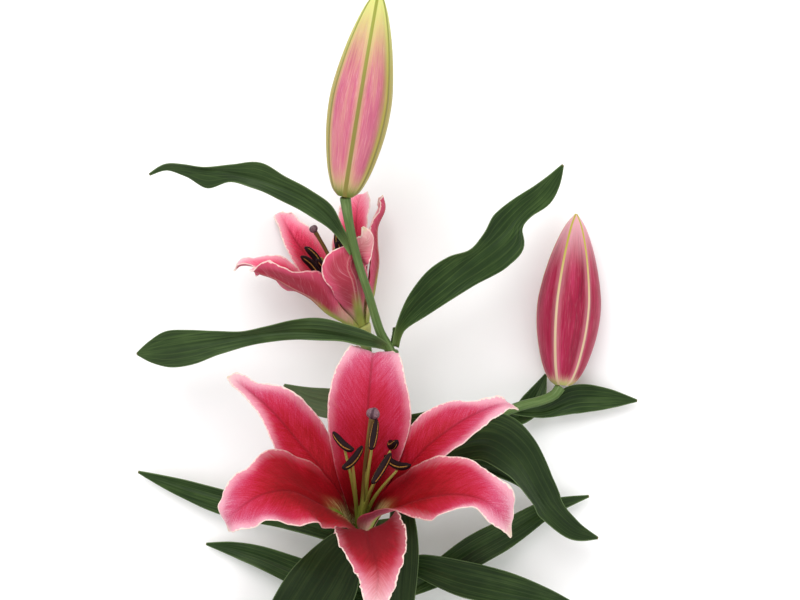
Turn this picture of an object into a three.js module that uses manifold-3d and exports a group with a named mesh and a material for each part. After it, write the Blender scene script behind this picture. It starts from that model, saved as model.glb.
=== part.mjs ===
// A cut lily laid on its back: one stem with an open bloom, a half-open bloom, two buds and its leaves.
// Millimetres, +Z up. The stem lies along the surface z = 0 and grows towards +Y.
// Places are given from the middle of the flower head. The whole stem is moved at the end, so that
// its origin lies on the surface under the middle of its box.

import * as THREE from 'three';
import { mergeVertices } from 'three/addons/utils/BufferGeometryUtils.js';
import Module from 'manifold-3d';

const wasm = await Module();
wasm.setup();

// Driving dimensions
const HEAD_FROM_CENTRE = [7.8, 122.2, 0];
const GAP = 0.3;
const CUT_SLOPE = 0.7;
const LEAF_THICKNESS = 0.8;
const LEAF_WAVES = 2.2;
const TEPAL_THICKNESS = 0.8;
const FILAMENT_RADIUS = 1.1;
const ANTHER_LENGTH = 21;
const ANTHER_RADIUS = 2.5;
const ANTHER_BOW = 3.2;
const ANTHER_SET_IN = 0.1;
// How many times wider a stigma is than the end of its style
const STIGMA_SWELL = 1.64;
// How far a leaf's edge turns up, as a share of how much wider the other half is
const TURN_UP = 0.3;

// Flat sides round each tube
const STEM_SIDES = 10;
const STALK_SIDES = 8;
const BUD_SIDES = 24;

// Stem and stalks, each a list of x, y, z and radius
const STEM = [
  [-4, -421, 5.1, 5.6], [-3, -370, 5.1, 5.5], [-1, -310, 9.5, 5.3], [1, -250, 18, 5.2],
  [1, -190, 27, 5.0], [-1, -130, 36, 4.8], [-4, -80, 42.5, 4.5], [-5, -30, 48, 4.2],
];
const TOP_BUD_STALK = [
  [-4.6, -44, 46.5, 3.4], [-6, -31, 50, 3.2], [-12.2, -18.5, 57, 2.9], [-18.6, 3, 68, 2.6],
  [-24.8, 22.6, 79, 2.6], [-29.6, 43.1, 89, 2.8], [-32.2, 60.4, 96.7, 3.4],
];
const RIGHT_BUD_STALK = [
  [-3, -96, 40.5, 3.4], [6, -89, 40, 3.2], [22, -82, 36.5, 3.1], [46, -75, 31, 3.1],
  [72.2, -65.5, 26, 3.1], [86, -62, 22.5, 3.1], [94.5, -58.5, 19.8, 3.2], [98.9, -53.2, 19.3, 3.6],
];
const OPEN_BLOOM_STALK = [
  [1, -218, 23, 3.6], [-2, -207, 28, 3.4], [-10, -189, 32, 3.2], [-19.5, -165, 34, 3.3],
  [-23.7, -150.5, 40.4, 4],
];
const HALF_OPEN_STALK = [
  [-3.5, -100, 40, 3.2], [-5.5, -84, 37, 3.1], [-12, -66, 31, 3.0], [-18.5, -42, 29.5, 3.1],
  [-21.8, -21.2, 32.6, 3.6],
];

// Blooms: where the tepals start and which way the bloom looks
const OPEN_BLOOM = { base: [-23.7, -146.8, 45], axis: [0, 0.643, 0.766] };
const HALF_OPEN_BLOOM = { base: [-23.4, -17, 34], axis: [-0.39, 0.87, 0.3] };

// Tepals: the direction round the axis and the roll of the face, in degrees, then the waves, which
// are their height at the left and right edge, how many there are and where they start at the left
// and right, then rows of distance from the axis, sway to the left, height along the axis,
// half-width to the left and right, and how far each side curls up, in degrees
const OPEN_TEPALS = [
  { name: 'inner_top', angle: 84, roll: 0, wave: [1.2, 1.2, 3.1, 0.7, 0.3], rows: [
    [4.4, 0, 2.2, 4.1, 4.1, 52, 52], [6.3, 0, 16, 5.9, 5.9, 52, 52],
    [11.5, 0, 33, 11.5, 11.5, 48, 48], [22.9, 0, 52, 19, 21.5, 36, 36],
    [40.5, 0, 73.5, 24, 27.5, 26, 26], [58, 0, 88, 22.3, 22, 22, 22],
    [71.5, 0, 93.3, 15.5, 16, 20, 20], [80.2, 0, 83.3, 8, 8, 14, 14],
    [84.5, 0, 68, 0.9, 0.9, 2, 2]] },
  { name: 'inner_left', angle: 209, roll: 0, wave: [2.6, 1, 5.6, 0.3, 0.1], rows: [
    [4.4, 0, 2.2, 4.1, 4.1, 52, 52], [6.3, 0, 18, 7, 5.9, 44, 52],
    [11.5, 0, 37, 21.5, 12.5, 19, 48], [23, -1, 53, 24, 25.5, 20, 40],
    [41.3, -3.5, 77, 30, 29, 4, 26], [59.6, -1, 90.5, 25.5, 20, 2, 22],
    [73.5, 0, 91, 18, 17, 6, 20], [84, 0, 83.5, 11, 11.5, 10, 16],
    [85.5, 0, 71.5, 0.9, 0.9, 2, 2]] },
  { name: 'inner_right', angle: 331, roll: 0, wave: [3.4, 3.4, 3.1, 0.7, 0.11], rows: [
    [4.4, 0, 2.2, 4.1, 4.1, 52, 52], [6.3, 0, 18, 5.9, 7, 52, 60],
    [11.5, 0, 37, 11.5, 13.5, 46, 80], [23, 0, 52, 24, 10, 38, 66], [42, 0, 75, 25, 14.5, 24, 10],
    [62, 0, 92.5, 25, 21.5, 22, 1], [80, 0, 99.5, 16, 9.5, 20, 6], [93, 0, 92.5, 12, 8, 16, 8],
    [99.7, 0, 75, 0.9, 0.9, 2, 2]] },
  { name: 'outer_right', angle: 25, roll: 0, wave: [2.2, 2.2, 3.1, 0.7, 0.3], rows: [
    [5.6, 0, 2.2, 4.8, 4.8, 48, 48], [7.7, 0, 16, 6.6, 6.6, 48, 48],
    [13.4, 0.2, 33, 9.6, 9.6, 40, 40], [25, 0.4, 50.5, 13, 13, 28, 28],
    [42.4, 0.8, 70.5, 16.5, 15, 10, 22], [64, 1.2, 82.5, 16.5, 17, 18, 18],
    [82, 1.7, 85.5, 6.5, 9.5, 16, 16], [95, 2, 83, 4, 5.5, 12, 12], [105, 3, 71, 0.9, 0.9, 2, 2]] },
  { name: 'outer_left', angle: 139.5, roll: 20, wave: [2.4, 2.4, 3.1, 0.7, 0.3], rows: [
    [5.6, 0, 2.2, 4.8, 4.8, 48, 48], [7.7, 0, 16, 6.6, 6.6, 48, 48],
    [13.4, 0.4, 33, 9.6, 9.6, 40, 40], [25, 1, 49, 13.5, 13.5, 28, 28],
    [45.5, 1.8, 63, 17, 18.5, 20, 20], [66, 2.6, 77, 8.5, 16.5, 16, 18],
    [84, 2, 80, 5, 7.5, 14, 14], [96.5, 1, 79, 4, 5.5, 10, 10], [105, 0, 75, 0.9, 0.9, 2, 2]] },
  { name: 'outer_bottom', angle: 275, roll: 0, wave: [2.6, 2.6, 3.1, 0.7, 0.3], rows: [
    [5.6, 0, 2.2, 4.8, 4.8, 48, 48], [10.5, 0, 14, 6.6, 6.6, 48, 48],
    [24.5, 0, 31, 10.5, 10.5, 40, 40], [30, 0.5, 50, 17, 14, 52, 28],
    [40, 1.5, 70, 20, 19.5, 30, 22], [62.5, 2.8, 82.4, 20, 19, 18, 18],
    [81.6, 4.2, 85.2, 12.5, 12, 16, 16], [93.5, 2, 78.7, 7.2, 7.5, 12, 12],
    [98, 1, 70, 0.9, 0.9, 2, 2]] },
];
const HALF_TEPALS = [
  { name: 'outer_right', angle: 354, roll: 0, wave: [0.8, 0.8, 3.1, 0.7, 0.3], rows: [
    [5.6, 0, 2.2, 4.6, 4.6, 46, 46], [9.8, 0, 10, 6.4, 6.4, 42, 42], [17, 0, 22, 9, 9, 40, 40],
    [24.5, 0.5, 34.6, 11, 11, 40, 40], [28.5, 1, 46, 10, 10, 44, 44], [33, 1, 56, 7, 7, 50, 50],
    [41, 1, 64, 5.5, 5.5, 60, 60], [43.5, 1, 69.5, 4, 4, 60, 60], [44.5, 1, 72, 0.9, 0.9, 2, 2]] },
  { name: 'inner_back', angle: 52, roll: 0, wave: [1.6, 1.6, 3.1, 0.7, 0.3], rows: [
    [4.4, 0, 2.2, 3.9, 3.9, 50, 50], [6.8, 0, 9.2, 5.9, 5.9, 44, 44],
    [11.7, -0.2, 19.7, 9.3, 9.3, 38, 38], [18, -0.5, 31.5, 12.5, 12.5, 34, 34],
    [25, -1, 42.6, 14.5, 13, 31, 36], [33, -1.5, 53.2, 14, 14, 28, 28],
    [41, -2.2, 61.7, 12, 12, 24, 24], [48.5, -3, 66.5, 7.5, 7.5, 18, 18],
    [54, -4, 65, 0.9, 0.9, 2, 2]] },
  { name: 'outer_back', angle: 112, roll: 0, wave: [1.4, 1.4, 3.1, 0.7, 0.3], rows: [
    [5.6, 0, 2.2, 4.6, 4.6, 46, 46], [8.6, 0, 10, 6.4, 6.4, 40, 40], [15, 0.2, 22, 9, 9, 34, 34],
    [23, 0.4, 35, 11.6, 11.6, 28, 28], [32.8, 0.2, 46.6, 11.5, 13, 26, 26],
    [42, -0.6, 56.7, 8.5, 12, 24, 24], [50, -2.3, 64.6, 6, 9, 20, 20],
    [57.2, -4.6, 70.3, 5.2, 6.8, 14, 14], [59.4, -7, 71.7, 0.9, 0.9, 2, 2]] },
  { name: 'inner_left', angle: 166, roll: 0, wave: [1.8, 1.8, 3.1, 0.7, 0.3], rows: [
    [4.4, 0, 2.2, 3.9, 3.9, 50, 50], [6.8, 0, 9.2, 5.9, 5.9, 44, 44],
    [11.7, -0.2, 19.7, 9, 9, 38, 38], [18, -0.5, 31.3, 11.5, 11.5, 34, 34],
    [25.5, -1, 42, 13.5, 12, 31, 38], [34.3, -1.5, 52.2, 13.5, 13.5, 28, 28],
    [43.8, -2.2, 60, 11.5, 11.5, 24, 24], [53, -3, 63.6, 7, 7, 18, 18],
    [59.3, -4, 61, 0.9, 0.9, 2, 2]] },
  { name: 'outer_left', angle: 214, roll: 0, wave: [3, 3, 3.1, 0.89, 0.3], rows: [
    [5.6, 0, 2.2, 4.6, 4.6, 46, 46], [9.8, 0, 10, 6.6, 6.4, 50, 40], [17.3, 0, 22, 10, 9, 60, 34],
    [23.4, 0, 35.5, 16, 11, 68, 28], [33, 0, 48, 16, 11.5, 70, 22], [41, 0, 59, 14, 10, 60, 18],
    [46.5, -2, 65, 9.5, 7, 40, 14], [49.5, -4, 68, 5.5, 4.5, 20, 10],
    [51, -6, 69, 0.9, 0.9, 2, 2]] },
  { name: 'inner_front', angle: 286, roll: 0, wave: [0.8, 0.8, 3.1, 0.7, 0.3], rows: [
    [4.4, 0, 2.2, 3.9, 3.9, 50, 50], [6.8, 0, 10, 6, 6, 56, 56], [13, 0, 19, 9.5, 9.5, 52, 52],
    [21.5, 0, 29.5, 12, 13, 38, 38], [28, 0, 39, 12, 14.5, 30, 32],
    [30.5, 0, 48.5, 12, 15.5, 26, 34], [31, 6, 54, 13, 7, 24, 30], [30, 17, 57, 6, 4.5, 20, 20],
    [31, 18, 65, 0.9, 0.9, 2, 2]] },
];

// Anthers: where each filament ends in its bloom's frame, and which way the anther lies
const OPEN_STAMENS = [
  { tip: [8, 13, 86], lies: [1, 7, 0.5] },
  { tip: [-9, 15, 75], lies: [5, -7, 2] },
  { tip: [-4, 2, 77], lies: [5, 8, -1] },
  { tip: [12.5, -5, 80], lies: [5, 8, 3] },
  { tip: [22, 4, 68], lies: [6, -5, 3] },
  { tip: [18, 16, 71], lies: [1.5, -4.5, 6] },
];
const OPEN_STYLE = [
  [0, 0, 2.3, 3.2], [0, 0, 9, 3.3], [0, 0, 13, 2.4], [0.5, 0.3, 24, 2.7], [1.2, 1, 33, 2.1],
  [1.6, 3, 42, 1.4], [3, 10, 62, 1.3], [5.4, 19, 80, 1.5], [7.6, 25.5, 90, 2.2],
];
const HALF_STAMENS = [
  { tip: [-9, 0, 49], lies: [-2, 0, 9] },
  { tip: [-5, 8, 49], lies: [-1, 2, 9] },
  { tip: [4.4, -7, 49], lies: [-1, -1, 8] },
  { tip: [5, 8, 51], lies: [1, 2, 8] },
  { tip: [9, 0, 47], lies: [2, 0, 9] },
  { tip: [-5, -8, 46], lies: [-1, -1, 9] },
];
const HALF_STYLE = [
  [0, 0, 2.3, 3.2], [0, 0, 8, 3.2], [0, 0, 11, 2.3], [0, 0, 20, 2.5], [0, 0, 27, 2.0],
  [0, 0, 34, 1.3], [0, 0.3, 50, 1.2], [-0.8, 0.6, 61, 1.2], [-1.5, 1, 67, 1.45],
];

// Buds: base, tip and greatest radius
const TOP_BUD = { base: [-32.3, 60.8, 96.8], tip: [-12.2, 180, 114], radius: 19 };
const RIGHT_BUD = { base: [99.6, -52.4, 19.1], tip: [108.4, 53, 19.1], radius: 20 };
// Shapes along a length: a bud's and an anther's share of the length and of the greatest radius,
// then a stigma's height and radius as shares of its greatest radius, and a receptacle's height
// and radius
const BUD_SHAPE = [
  [0, 0.25], [0.04, 0.48], [0.14, 0.73], [0.3, 0.94], [0.45, 1], [0.57, 0.93],
  [0.71, 0.76], [0.83, 0.55], [0.93, 0.31], [1, 0.04],
];
const ANTHER_SHAPE = [[-0.5, 0.28], [-0.38, 0.8], [-0.14, 1], [0.14, 1], [0.38, 0.8], [0.5, 0.28]];
const STIGMA_SHAPE = [[0, 0.51], [0.44, 0.9], [1, 1], [1.5, 0.8], [1.78, 0.37]];
const RECEPTACLE = [[-9, 3.3], [-5, 4.2], [-2, 5.6], [0.6, 6.2], [1.9, 5.6]];

// Leaves: how far the sides curl up in degrees, the height of the waves, and a list of x, y, z,
// half-width to the left and right, and how far the face leans towards +X and +Y
const LEAVES = [
  { name: 'leaf_bud_left', cup: 26, wave: 1, rows: [
    [-27.7, 27.8, 81, 2.4, 2.4, 0, -0.3], [-36.1, 41.3, 87.5, 3.6, 3.6, -0.2, -0.3],
    [-44.9, 51.5, 91, 6, 7.2, -0.3, -0.3], [-55.8, 59.5, 93.5, 7.6, 7, -0.2, -0.3],
    [-69, 65.7, 95, 7.3, 8, -0.1, -0.3], [-83.7, 70.8, 94, 5.5, 11.2, -0.1, -0.3],
    [-98.6, 74.3, 90, 4.8, 6.2, 0, -0.3], [-113.8, 76.8, 84, 11.4, 2.4, 0, -0.3],
    [-127.6, 78.4, 77, 5.5, 2.6, 0, -0.3], [-139.4, 79.3, 69.5, 2.3, 2.3, 0, -0.3],
    [-150.1, 75.2, 62, 0.8, 0.8, 0, -0.3]] },
  { name: 'leaf_upper_right', cup: 24, wave: 1.2, rows: [
    [-3, -29, 49, 2.2, 2.2, 0, 0], [0, -16.3, 55, 2.6, 3.8, -0.2, -0.1],
    [10.8, -3, 61, 8.2, 8.6, -0.1, -0.2], [23.9, 8.4, 66, 12.2, 11, -0.1, -0.2],
    [35.8, 18.5, 69, 10.8, 13.4, 0, -0.2], [45.3, 26.2, 71, 6.2, 16.2, 0.1, -0.2],
    [54.2, 33.3, 72, 8.6, 17.2, 0.2, -0.1], [62, 40.5, 71, 12.6, 16, 0.3, 0],
    [67.4, 47.1, 68.5, 11.4, 7.6, 0.3, 0], [74.2, 54.4, 65, 9.2, 6.4, 0.2, -0.1],
    [84, 63.6, 59.5, 6.6, 8.6, 0.1, -0.2], [91.5, 72.3, 54, 3.6, 6, 0, -0.1],
    [98.5, 81.6, 48, 0.8, 0.8, 0, 0]] },
  { name: 'leaf_upper_left', cup: 22, wave: 1.2, rows: [
    [-6.5, -29, 50, 1.8, 1.8, 0.3, 0], [-13, -26.2, 63, 2.8, 3.6, 0.4, -0.1],
    [-21.8, -24.4, 66.6, 3, 6.4, 0.3, -0.2], [-34.3, -21.6, 68, 2.6, 7.8, 0.1, -0.3],
    [-49.1, -19.6, 73, 3.8, 9.8, 0, -0.4], [-63.9, -19, 75.5, 5, 9, 0, -0.5],
    [-78.7, -20.1, 75.5, 5.4, 6, -0.1, -0.5], [-93.7, -22, 73, 6.3, 4.4, -0.1, -0.4],
    [-108.8, -24.5, 69.5, 8, 6.6, -0.1, -0.2], [-124.1, -26.9, 65, 11.8, 9.4, -0.2, 0],
    [-138, -29.2, 60, 11.6, 11, -0.2, 0], [-149.7, -31, 55, 7.2, 6.2, -0.2, 0],
    [-158.9, -32.5, 50, 0.8, 0.8, -0.2, 0]] },
  { name: 'leaf_behind_left', cup: 18, wave: 1, rows: [
    [-4.5, -72, 43, 3, 3, 0, 0], [-21.2, -63.7, 44.5, 8, 8, 0, 0],
    [-39.5, -63.3, 40, 9.5, 9.5, 0, 0], [-56.1, -59.8, 34, 7, 7, 0, 0],
    [-71, -52, 27, 0.8, 0.8, 0, 0]] },
  { name: 'leaf_low_left', cup: 20, wave: 1.4, rows: [
    [0, -158, 31, 3.5, 3.5, 0, 0], [-33.6, -146, 24, 4.5, 9.5, 0, 0],
    [-67.5, -134.5, 20, 7, 10, 0, -0.1], [-103, -123.4, 15, 11.4, 5.6, 0, -0.2],
    [-136, -114.3, 10, 7.2, 4, 0, -0.1], [-162.4, -106.6, 6, 0.8, 0.8, 0, 0]] },
  { name: 'leaf_lower_left', cup: 18, wave: 1.2, rows: [
    [1, -186, 26.5, 3.5, 3.5, 0, 0], [-33.7, -177, 18, 8.5, 8.5, 0, 0],
    [-61.5, -168.3, 14, 9, 9, 0, 0], [-85.2, -159.3, 10, 7, 7, 0, 0],
    [-104, -154.2, 7, 4.5, 4.5, 0, 0], [-120.4, -151.4, 4.5, 0.8, 0.8, 0, 0]] },
  { name: 'leaf_broad_left', cup: 22, wave: 2.4, rows: [
    [-2, -136, 34, 4, 4, -0.2, 0], [-28.5, -153.8, 30.5, 10, 17, -0.1, 0.1],
    [-44, -177, 34, 17.5, 26, 0, 0.1], [-62, -207, 32, 16.5, 25, -0.1, 0],
    [-80, -239, 22, 11, 17, -0.1, -0.1], [-98.9, -268.8, 11, 0.8, 0.8, 0, 0]] },
  { name: 'leaf_front', cup: 26, wave: 1.2, rows: [
    [-1, -116, 39, 3.4, 3.4, 0, 0.3], [1.2, -132.7, 50, 8, 8, 0, 0.2],
    [1.2, -153.6, 53, 10.5, 10.5, 0, 0], [-0.5, -181, 49, 9.5, 9.5, 0, -0.1],
    [-2, -206, 40, 6, 6, 0, -0.2], [-4, -228, 31, 0.8, 0.8, 0, 0]] },
  { name: 'leaf_lower_right', cup: 22, wave: 1.6, rows: [
    [1, -161, 32, 3.5, 3.5, 0, 0], [15.2, -162.6, 36, 8, 8, 0, 0], [37.8, -169.3, 38, 11, 11, 0, 0],
    [64, -175.8, 33, 10.5, 10.5, 0, 0], [88.9, -182.7, 25, 6.5, 6.5, 0, 0],
    [109.6, -188.4, 17, 0.8, 0.8, 0, 0]] },
  { name: 'leaf_low_right', cup: 20, wave: 1.4, rows: [
    [1, -180, 27.5, 3.5, 3.5, 0, 0], [24.5, -167.5, 22, 8, 8, 0, 0],
    [46.1, -154, 19, 9.8, 9.8, 0, 0], [69, -141.8, 15, 8.8, 8.8, 0, -0.1],
    [92.7, -128.5, 10, 5.4, 5.4, 0, 0], [117.2, -121.6, 6, 0.8, 0.8, 0, 0]] },
  { name: 'leaf_arched_right', cup: 24, wave: 2.2, rows: [
    [-2, -104, 39, 3.5, 3.5, 0, 0.1], [24, -91, 47, 9, 9, 0, 0.1],
    [51.3, -83.5, 52, 17, 14, 0.1, 0.1], [70, -94.3, 50, 17, 15.5, 0.4, 0.2],
    [83.7, -115.5, 43, 13, 12, 0.6, 0.4], [92, -128, 36, 8.6, 8.6, 0.3, 0.3],
    [105.8, -140.6, 30, 6.5, 6.5, 0.2, 0.2], [121.4, -146, 25, 0.8, 0.8, 0, 0]] },
  { name: 'leaf_behind_bud', cup: 16, wave: 0.8, rows: [
    [63, -68.9, 27.5, 2.6, 2.6, 0, 0], [73.5, -73.5, 17, 7.6, 3.5, 0, 0],
    [82.5, -62.5, 11, 7, 7, 0, 0], [90.5, -46, 6.5, 0.8, 0.8, 0, 0]] },
  { name: 'bract_right', cup: 18, wave: 0.8, rows: [
    [66, -67.5, 27, 2.2, 2.2, 0, 0], [88, -68.5, 14.5, 4.4, 4.4, 0, 0],
    [107.6, -61.5, 10.5, 9, 9, 0, 0], [126.3, -61, 9.5, 7, 7, 0, 0],
    [147, -62.4, 7, 0.8, 0.8, 0, 0]] },
  { name: 'leaf_behind_right', cup: 18, wave: 1, rows: [
    [-4, -74, 42.5, 3.4, 3.4, 0, 0], [15, -75.5, 46, 8, 8, 0, 0], [37.8, -70, 43, 8, 8, 0, 0],
    [56, -71, 37, 4.6, 4.6, 0, 0], [69, -75, 33, 0.8, 0.8, 0, 0]] },
  { name: 'leaf_under_right', cup: 20, wave: 1.2, rows: [
    [0, -125, 36, 3.5, 3.5, 0, 0], [21.3, -110, 37, 8.6, 8.6, 0, 0],
    [46.2, -103, 36.5, 10, 3, 0, 0], [68.3, -109.5, 31, 7, 2, 0, 0],
    [85.7, -122.4, 25, 0.8, 0.8, 0, 0]] },
  { name: 'bract_top', cup: 20, wave: 0, rows: [
    [-5, -31, 47, 1.8, 1.8, 0, 0], [-2.6, -22.5, 48, 2.6, 2.6, 0, 0],
    [-3.6, -16.5, 48.5, 0.8, 0.8, 0, 0]] },
  { name: 'leaf_stem_left_1', cup: 22, wave: 1.6, rows: [
    [0, -262, 16, 3.6, 3.6, 0, 0], [-24, -258, 20, 9, 9, 0, 0], [-54, -268, 18, 12.5, 12.5, 0, 0],
    [-82, -290, 11, 9.5, 9.5, -0.1, 0], [-104, -314, 5, 0.8, 0.8, 0, 0]] },
  { name: 'leaf_stem_right_1', cup: 22, wave: 1.6, rows: [
    [1, -236, 20, 3.6, 3.6, 0, 0], [27, -228, 24, 9.5, 9.5, 0, 0], [60, -234, 22, 13, 13, 0, 0],
    [92, -250, 13, 9.5, 9.5, 0.1, 0], [118, -270, 5, 0.8, 0.8, 0, 0]] },
  { name: 'leaf_stem_right_2', cup: 22, wave: 1.6, rows: [
    [0, -288, 12.5, 3.6, 3.6, 0, 0], [25, -287, 17, 9, 9, 0, 0], [56, -301, 15, 12.5, 12.5, 0, 0],
    [82, -324, 9, 9, 9, 0.1, 0], [100, -348, 4, 0.8, 0.8, 0, 0]] },
  { name: 'leaf_stem_left_2', cup: 22, wave: 1.4, rows: [
    [-1, -318, 9, 3.4, 3.4, 0, 0], [-22, -323, 13, 8.5, 8.5, 0, 0], [-47, -343, 12, 11, 11, 0, 0],
    [-67, -367, 8, 8, 8, -0.1, 0], [-80, -391, 4, 0.8, 0.8, 0, 0]] },
  { name: 'leaf_stem_front', cup: 26, wave: 1.4, rows: [
    [1, -246, 19, 3.4, 3.4, 0, 0.5], [6, -262, 34, 8, 8, 0.2, 0.5],
    [11, -286, 42, 11, 11, 0.2, 0.1], [13, -316, 38, 9, 9, 0.2, -0.3],
    [11, -345, 26, 0.8, 0.8, 0, -0.4]] },
];

const UP = new THREE.Vector3(0, 0, 1);
// Share of a curve's length over which its direction is measured
const SPAN = 0.01;
const { clamp, degToRad, smoothstep } = THREE.MathUtils;

// Smooth curve through rows of numbers: t is 0 at the first row and 1 at the last.
function alongRows(rows, t) {
  const last = rows.length - 1;
  const span = Math.min(Math.floor(t * last), last - 1);
  const f = t * last - span;
  const row = (i) => rows[clamp(i, 0, last)];
  const [a, b, c, d] = [row(span - 1), row(span), row(span + 1), row(span + 2)];
  return b.map((_, k) => {
    const slope = (c[k] - a[k]) * f;
    const bend = (2 * a[k] - 5 * b[k] + 4 * c[k] - d[k]) * f ** 2;
    const twist = (3 * b[k] - a[k] - 3 * c[k] + d[k]) * f ** 3;
    return 0.5 * (2 * b[k] + slope + bend + twist);
  });
}

// The direction at t of a curve whose points are given by at(t).
function directionAt(at, t) {
  const before = at(Math.max(t - SPAN, 0));
  const after = at(Math.min(t + SPAN, 1));
  return after.sub(before).normalize();
}

function indexedGeometry(points, triangles) {
  const geometry = new THREE.BufferGeometry();
  const numbers = points.flatMap((point) => point.toArray());
  geometry.setAttribute('position', new THREE.Float32BufferAttribute(numbers, 3));
  geometry.setIndex(triangles.flat());
  geometry.computeVertexNormals();
  return geometry;
}

// A closed tube through rows of x, y, z and radius. swell(angle) changes the radius round it,
// slant cuts its first end at that slope, and grow moves the whole surface outwards.
function tubeGeometry(rows, { sides, steps, swell = () => 1, slant = 0, grow = 0 }) {
  const at = (t) => new THREE.Vector3(...alongRows(rows, t).slice(0, 3));
  const points = [];
  const ends = [];
  let across = UP;
  if (Math.abs(directionAt(at, 0).z) > 0.9) across = new THREE.Vector3(0, 1, 0);
  for (let i = 0; i <= steps; i++) {
    const centre = at(i / steps);
    const radius = alongRows(rows, i / steps)[3];
    const tangent = directionAt(at, i / steps);
    across = across.clone().addScaledVector(tangent, -across.dot(tangent)).normalize();
    const other = new THREE.Vector3().crossVectors(tangent, across);
    if (i === 0) ends.push(centre.addScaledVector(tangent, -grow));
    if (i === steps) ends.push(centre.addScaledVector(tangent, grow));
    for (let j = 0; j < sides; j++) {
      const angle = (2 * Math.PI * j) / sides;
      const reach = radius * swell(angle) + grow;
      const point = centre.clone()
        .addScaledVector(across, reach * Math.cos(angle))
        .addScaledVector(other, reach * Math.sin(angle));
      if (i === 0) point.addScaledVector(tangent, slant * reach * Math.cos(angle));
      points.push(point);
    }
  }
  return indexedGeometry([...points, ...ends], tubeTriangles(sides, steps));
}

function tubeTriangles(sides, steps) {
  const triangles = [];
  const firstCap = sides * (steps + 1);
  const lastRing = steps * sides;
  for (let j = 0; j < sides; j++) {
    const k = (j + 1) % sides;
    triangles.push([firstCap, k, j], [firstCap + 1, lastRing + j, lastRing + k]);
    for (let i = 0; i < steps; i++) {
      const [a, b] = [i * sides + j, i * sides + k];
      triangles.push([a, b, b + sides], [a, b + sides, a + sides]);
    }
  }
  return triangles;
}

// A thin closed blade. station(u) gives its middle point, the way its face looks, and then the
// half-width and the curl in degrees of its left and right side. wave(u, v) lifts it at v, which
// is -1 at the left edge and 1 at the right one.
function bladeGeometry(station, { steps, columns, thickness, wave }) {
  const middle = [];
  for (let i = 0; i <= steps; i++) {
    const u = i / steps;
    const { centre, face, halfWidths, curls } = station(u);
    const tangent = directionAt((t) => station(t).centre, u);
    const lift = face.addScaledVector(tangent, -face.dot(tangent)).normalize();
    const side = new THREE.Vector3().crossVectors(tangent, lift);
    const line = [];
    for (let j = 0; j <= columns; j++) {
      const v = (2 * j) / columns - 1;
      const half = v < 0 ? 0 : 1;
      const halfWidth = halfWidths[half];
      const bend = Math.max(degToRad(curls[half]), 0.01);
      const sideways = (Math.sin(bend * v) / bend) * halfWidth;
      const rise = ((1 - Math.cos(bend * v)) / bend) * halfWidth + wave(u, v);
      line.push(centre.clone().addScaledVector(side, sideways).addScaledVector(lift, rise));
    }
    middle.push(line);
  }
  return thickened(middle, thickness);
}

// Turns a grid of points into a closed sheet. Both faces are split into the same triangles.
function thickened(middle, thickness) {
  const steps = middle.length - 1;
  const columns = middle[0].length - 1;
  const at = (i, j) => middle[clamp(i, 0, steps)][clamp(j, 0, columns)];
  const top = [];
  const bottom = [];
  for (let i = 0; i <= steps; i++) {
    for (let j = 0; j <= columns; j++) {
      const along = at(i + 1, j).clone().sub(at(i - 1, j));
      const across = at(i, j + 1).clone().sub(at(i, j - 1));
      const normal = along.cross(across).normalize();
      top.push(at(i, j).clone().addScaledVector(normal, thickness / 2));
      bottom.push(at(i, j).clone().addScaledVector(normal, -thickness / 2));
    }
  }
  return indexedGeometry([...top, ...bottom], sheetTriangles(steps, columns));
}

function sheetTriangles(steps, columns) {
  const count = (steps + 1) * (columns + 1);
  const id = (i, j) => i * (columns + 1) + j;
  const triangles = [];
  const rim = (p, q) => triangles.push([q, p, p + count], [q, p + count, q + count]);
  for (let i = 0; i < steps; i++) {
    for (let j = 0; j < columns; j++) {
      const [a, b, c, d] = [id(i, j), id(i + 1, j), id(i + 1, j + 1), id(i, j + 1)];
      triangles.push([a, b, c], [a, c, d]);
      triangles.push([a + count, c + count, b + count], [a + count, d + count, c + count]);
    }
    rim(id(i, 0), id(i + 1, 0));
    rim(id(i + 1, columns), id(i, columns));
  }
  for (let j = 0; j < columns; j++) {
    rim(id(steps, j), id(steps, j + 1));
    rim(id(0, j + 1), id(0, j));
  }
  return triangles;
}

function solidOf(geometry) {
  const shape = new wasm.Mesh({
    numProp: 3,
    vertProperties: new Float32Array(geometry.attributes.position.array),
    triVerts: new Uint32Array(geometry.index.array),
  });
  return new wasm.Manifold(shape);
}

function geometryOf(solid) {
  const { vertProperties, triVerts } = solid.getMesh();
  const geometry = new THREE.BufferGeometry();
  geometry.setAttribute('position', new THREE.BufferAttribute(new Float32Array(vertProperties), 3));
  geometry.setIndex(new THREE.BufferAttribute(new Uint32Array(triVerts), 1));
  geometry.computeVertexNormals();
  return geometry;
}

function joined(geometries) {
  return geometries.map(solidOf).reduce((whole, next) => whole.add(next));
}

function largestPiece(solid) {
  return solid.decompose().reduce((best, next) => (next.volume() > best.volume() ? next : best));
}

// Everything below the surface that the stem lies on.
function underSurface() {
  const box = new THREE.BoxGeometry(500, 800, 30).translate(0, -100, -15);
  box.deleteAttribute('normal');
  box.deleteAttribute('uv');
  return solidOf(mergeVertices(box));
}

function material(color, roughness) {
  return new THREE.MeshStandardMaterial({ color, roughness, metalness: 0 });
}

const MATERIALS = {
  stem: material(0x5f8a48, 0.55),
  leaf: material(0x2c4a2b, 0.5),
  tepal: material(0xc93a5e, 0.6),
  dullTepal: material(0xc05470, 0.6),
  topBud: material(0xc08a72, 0.55),
  rightBud: material(0xa8315a, 0.55),
  organs: material(0xa9b55c, 0.5),
  anther: material(0x3b211d, 0.8),
  stigma: material(0x6a4a58, 0.6),
};

function mesh(name, geometry, look) {
  const piece = new THREE.Mesh(geometry, look.clone());
  piece.name = name;
  return piece;
}

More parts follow.
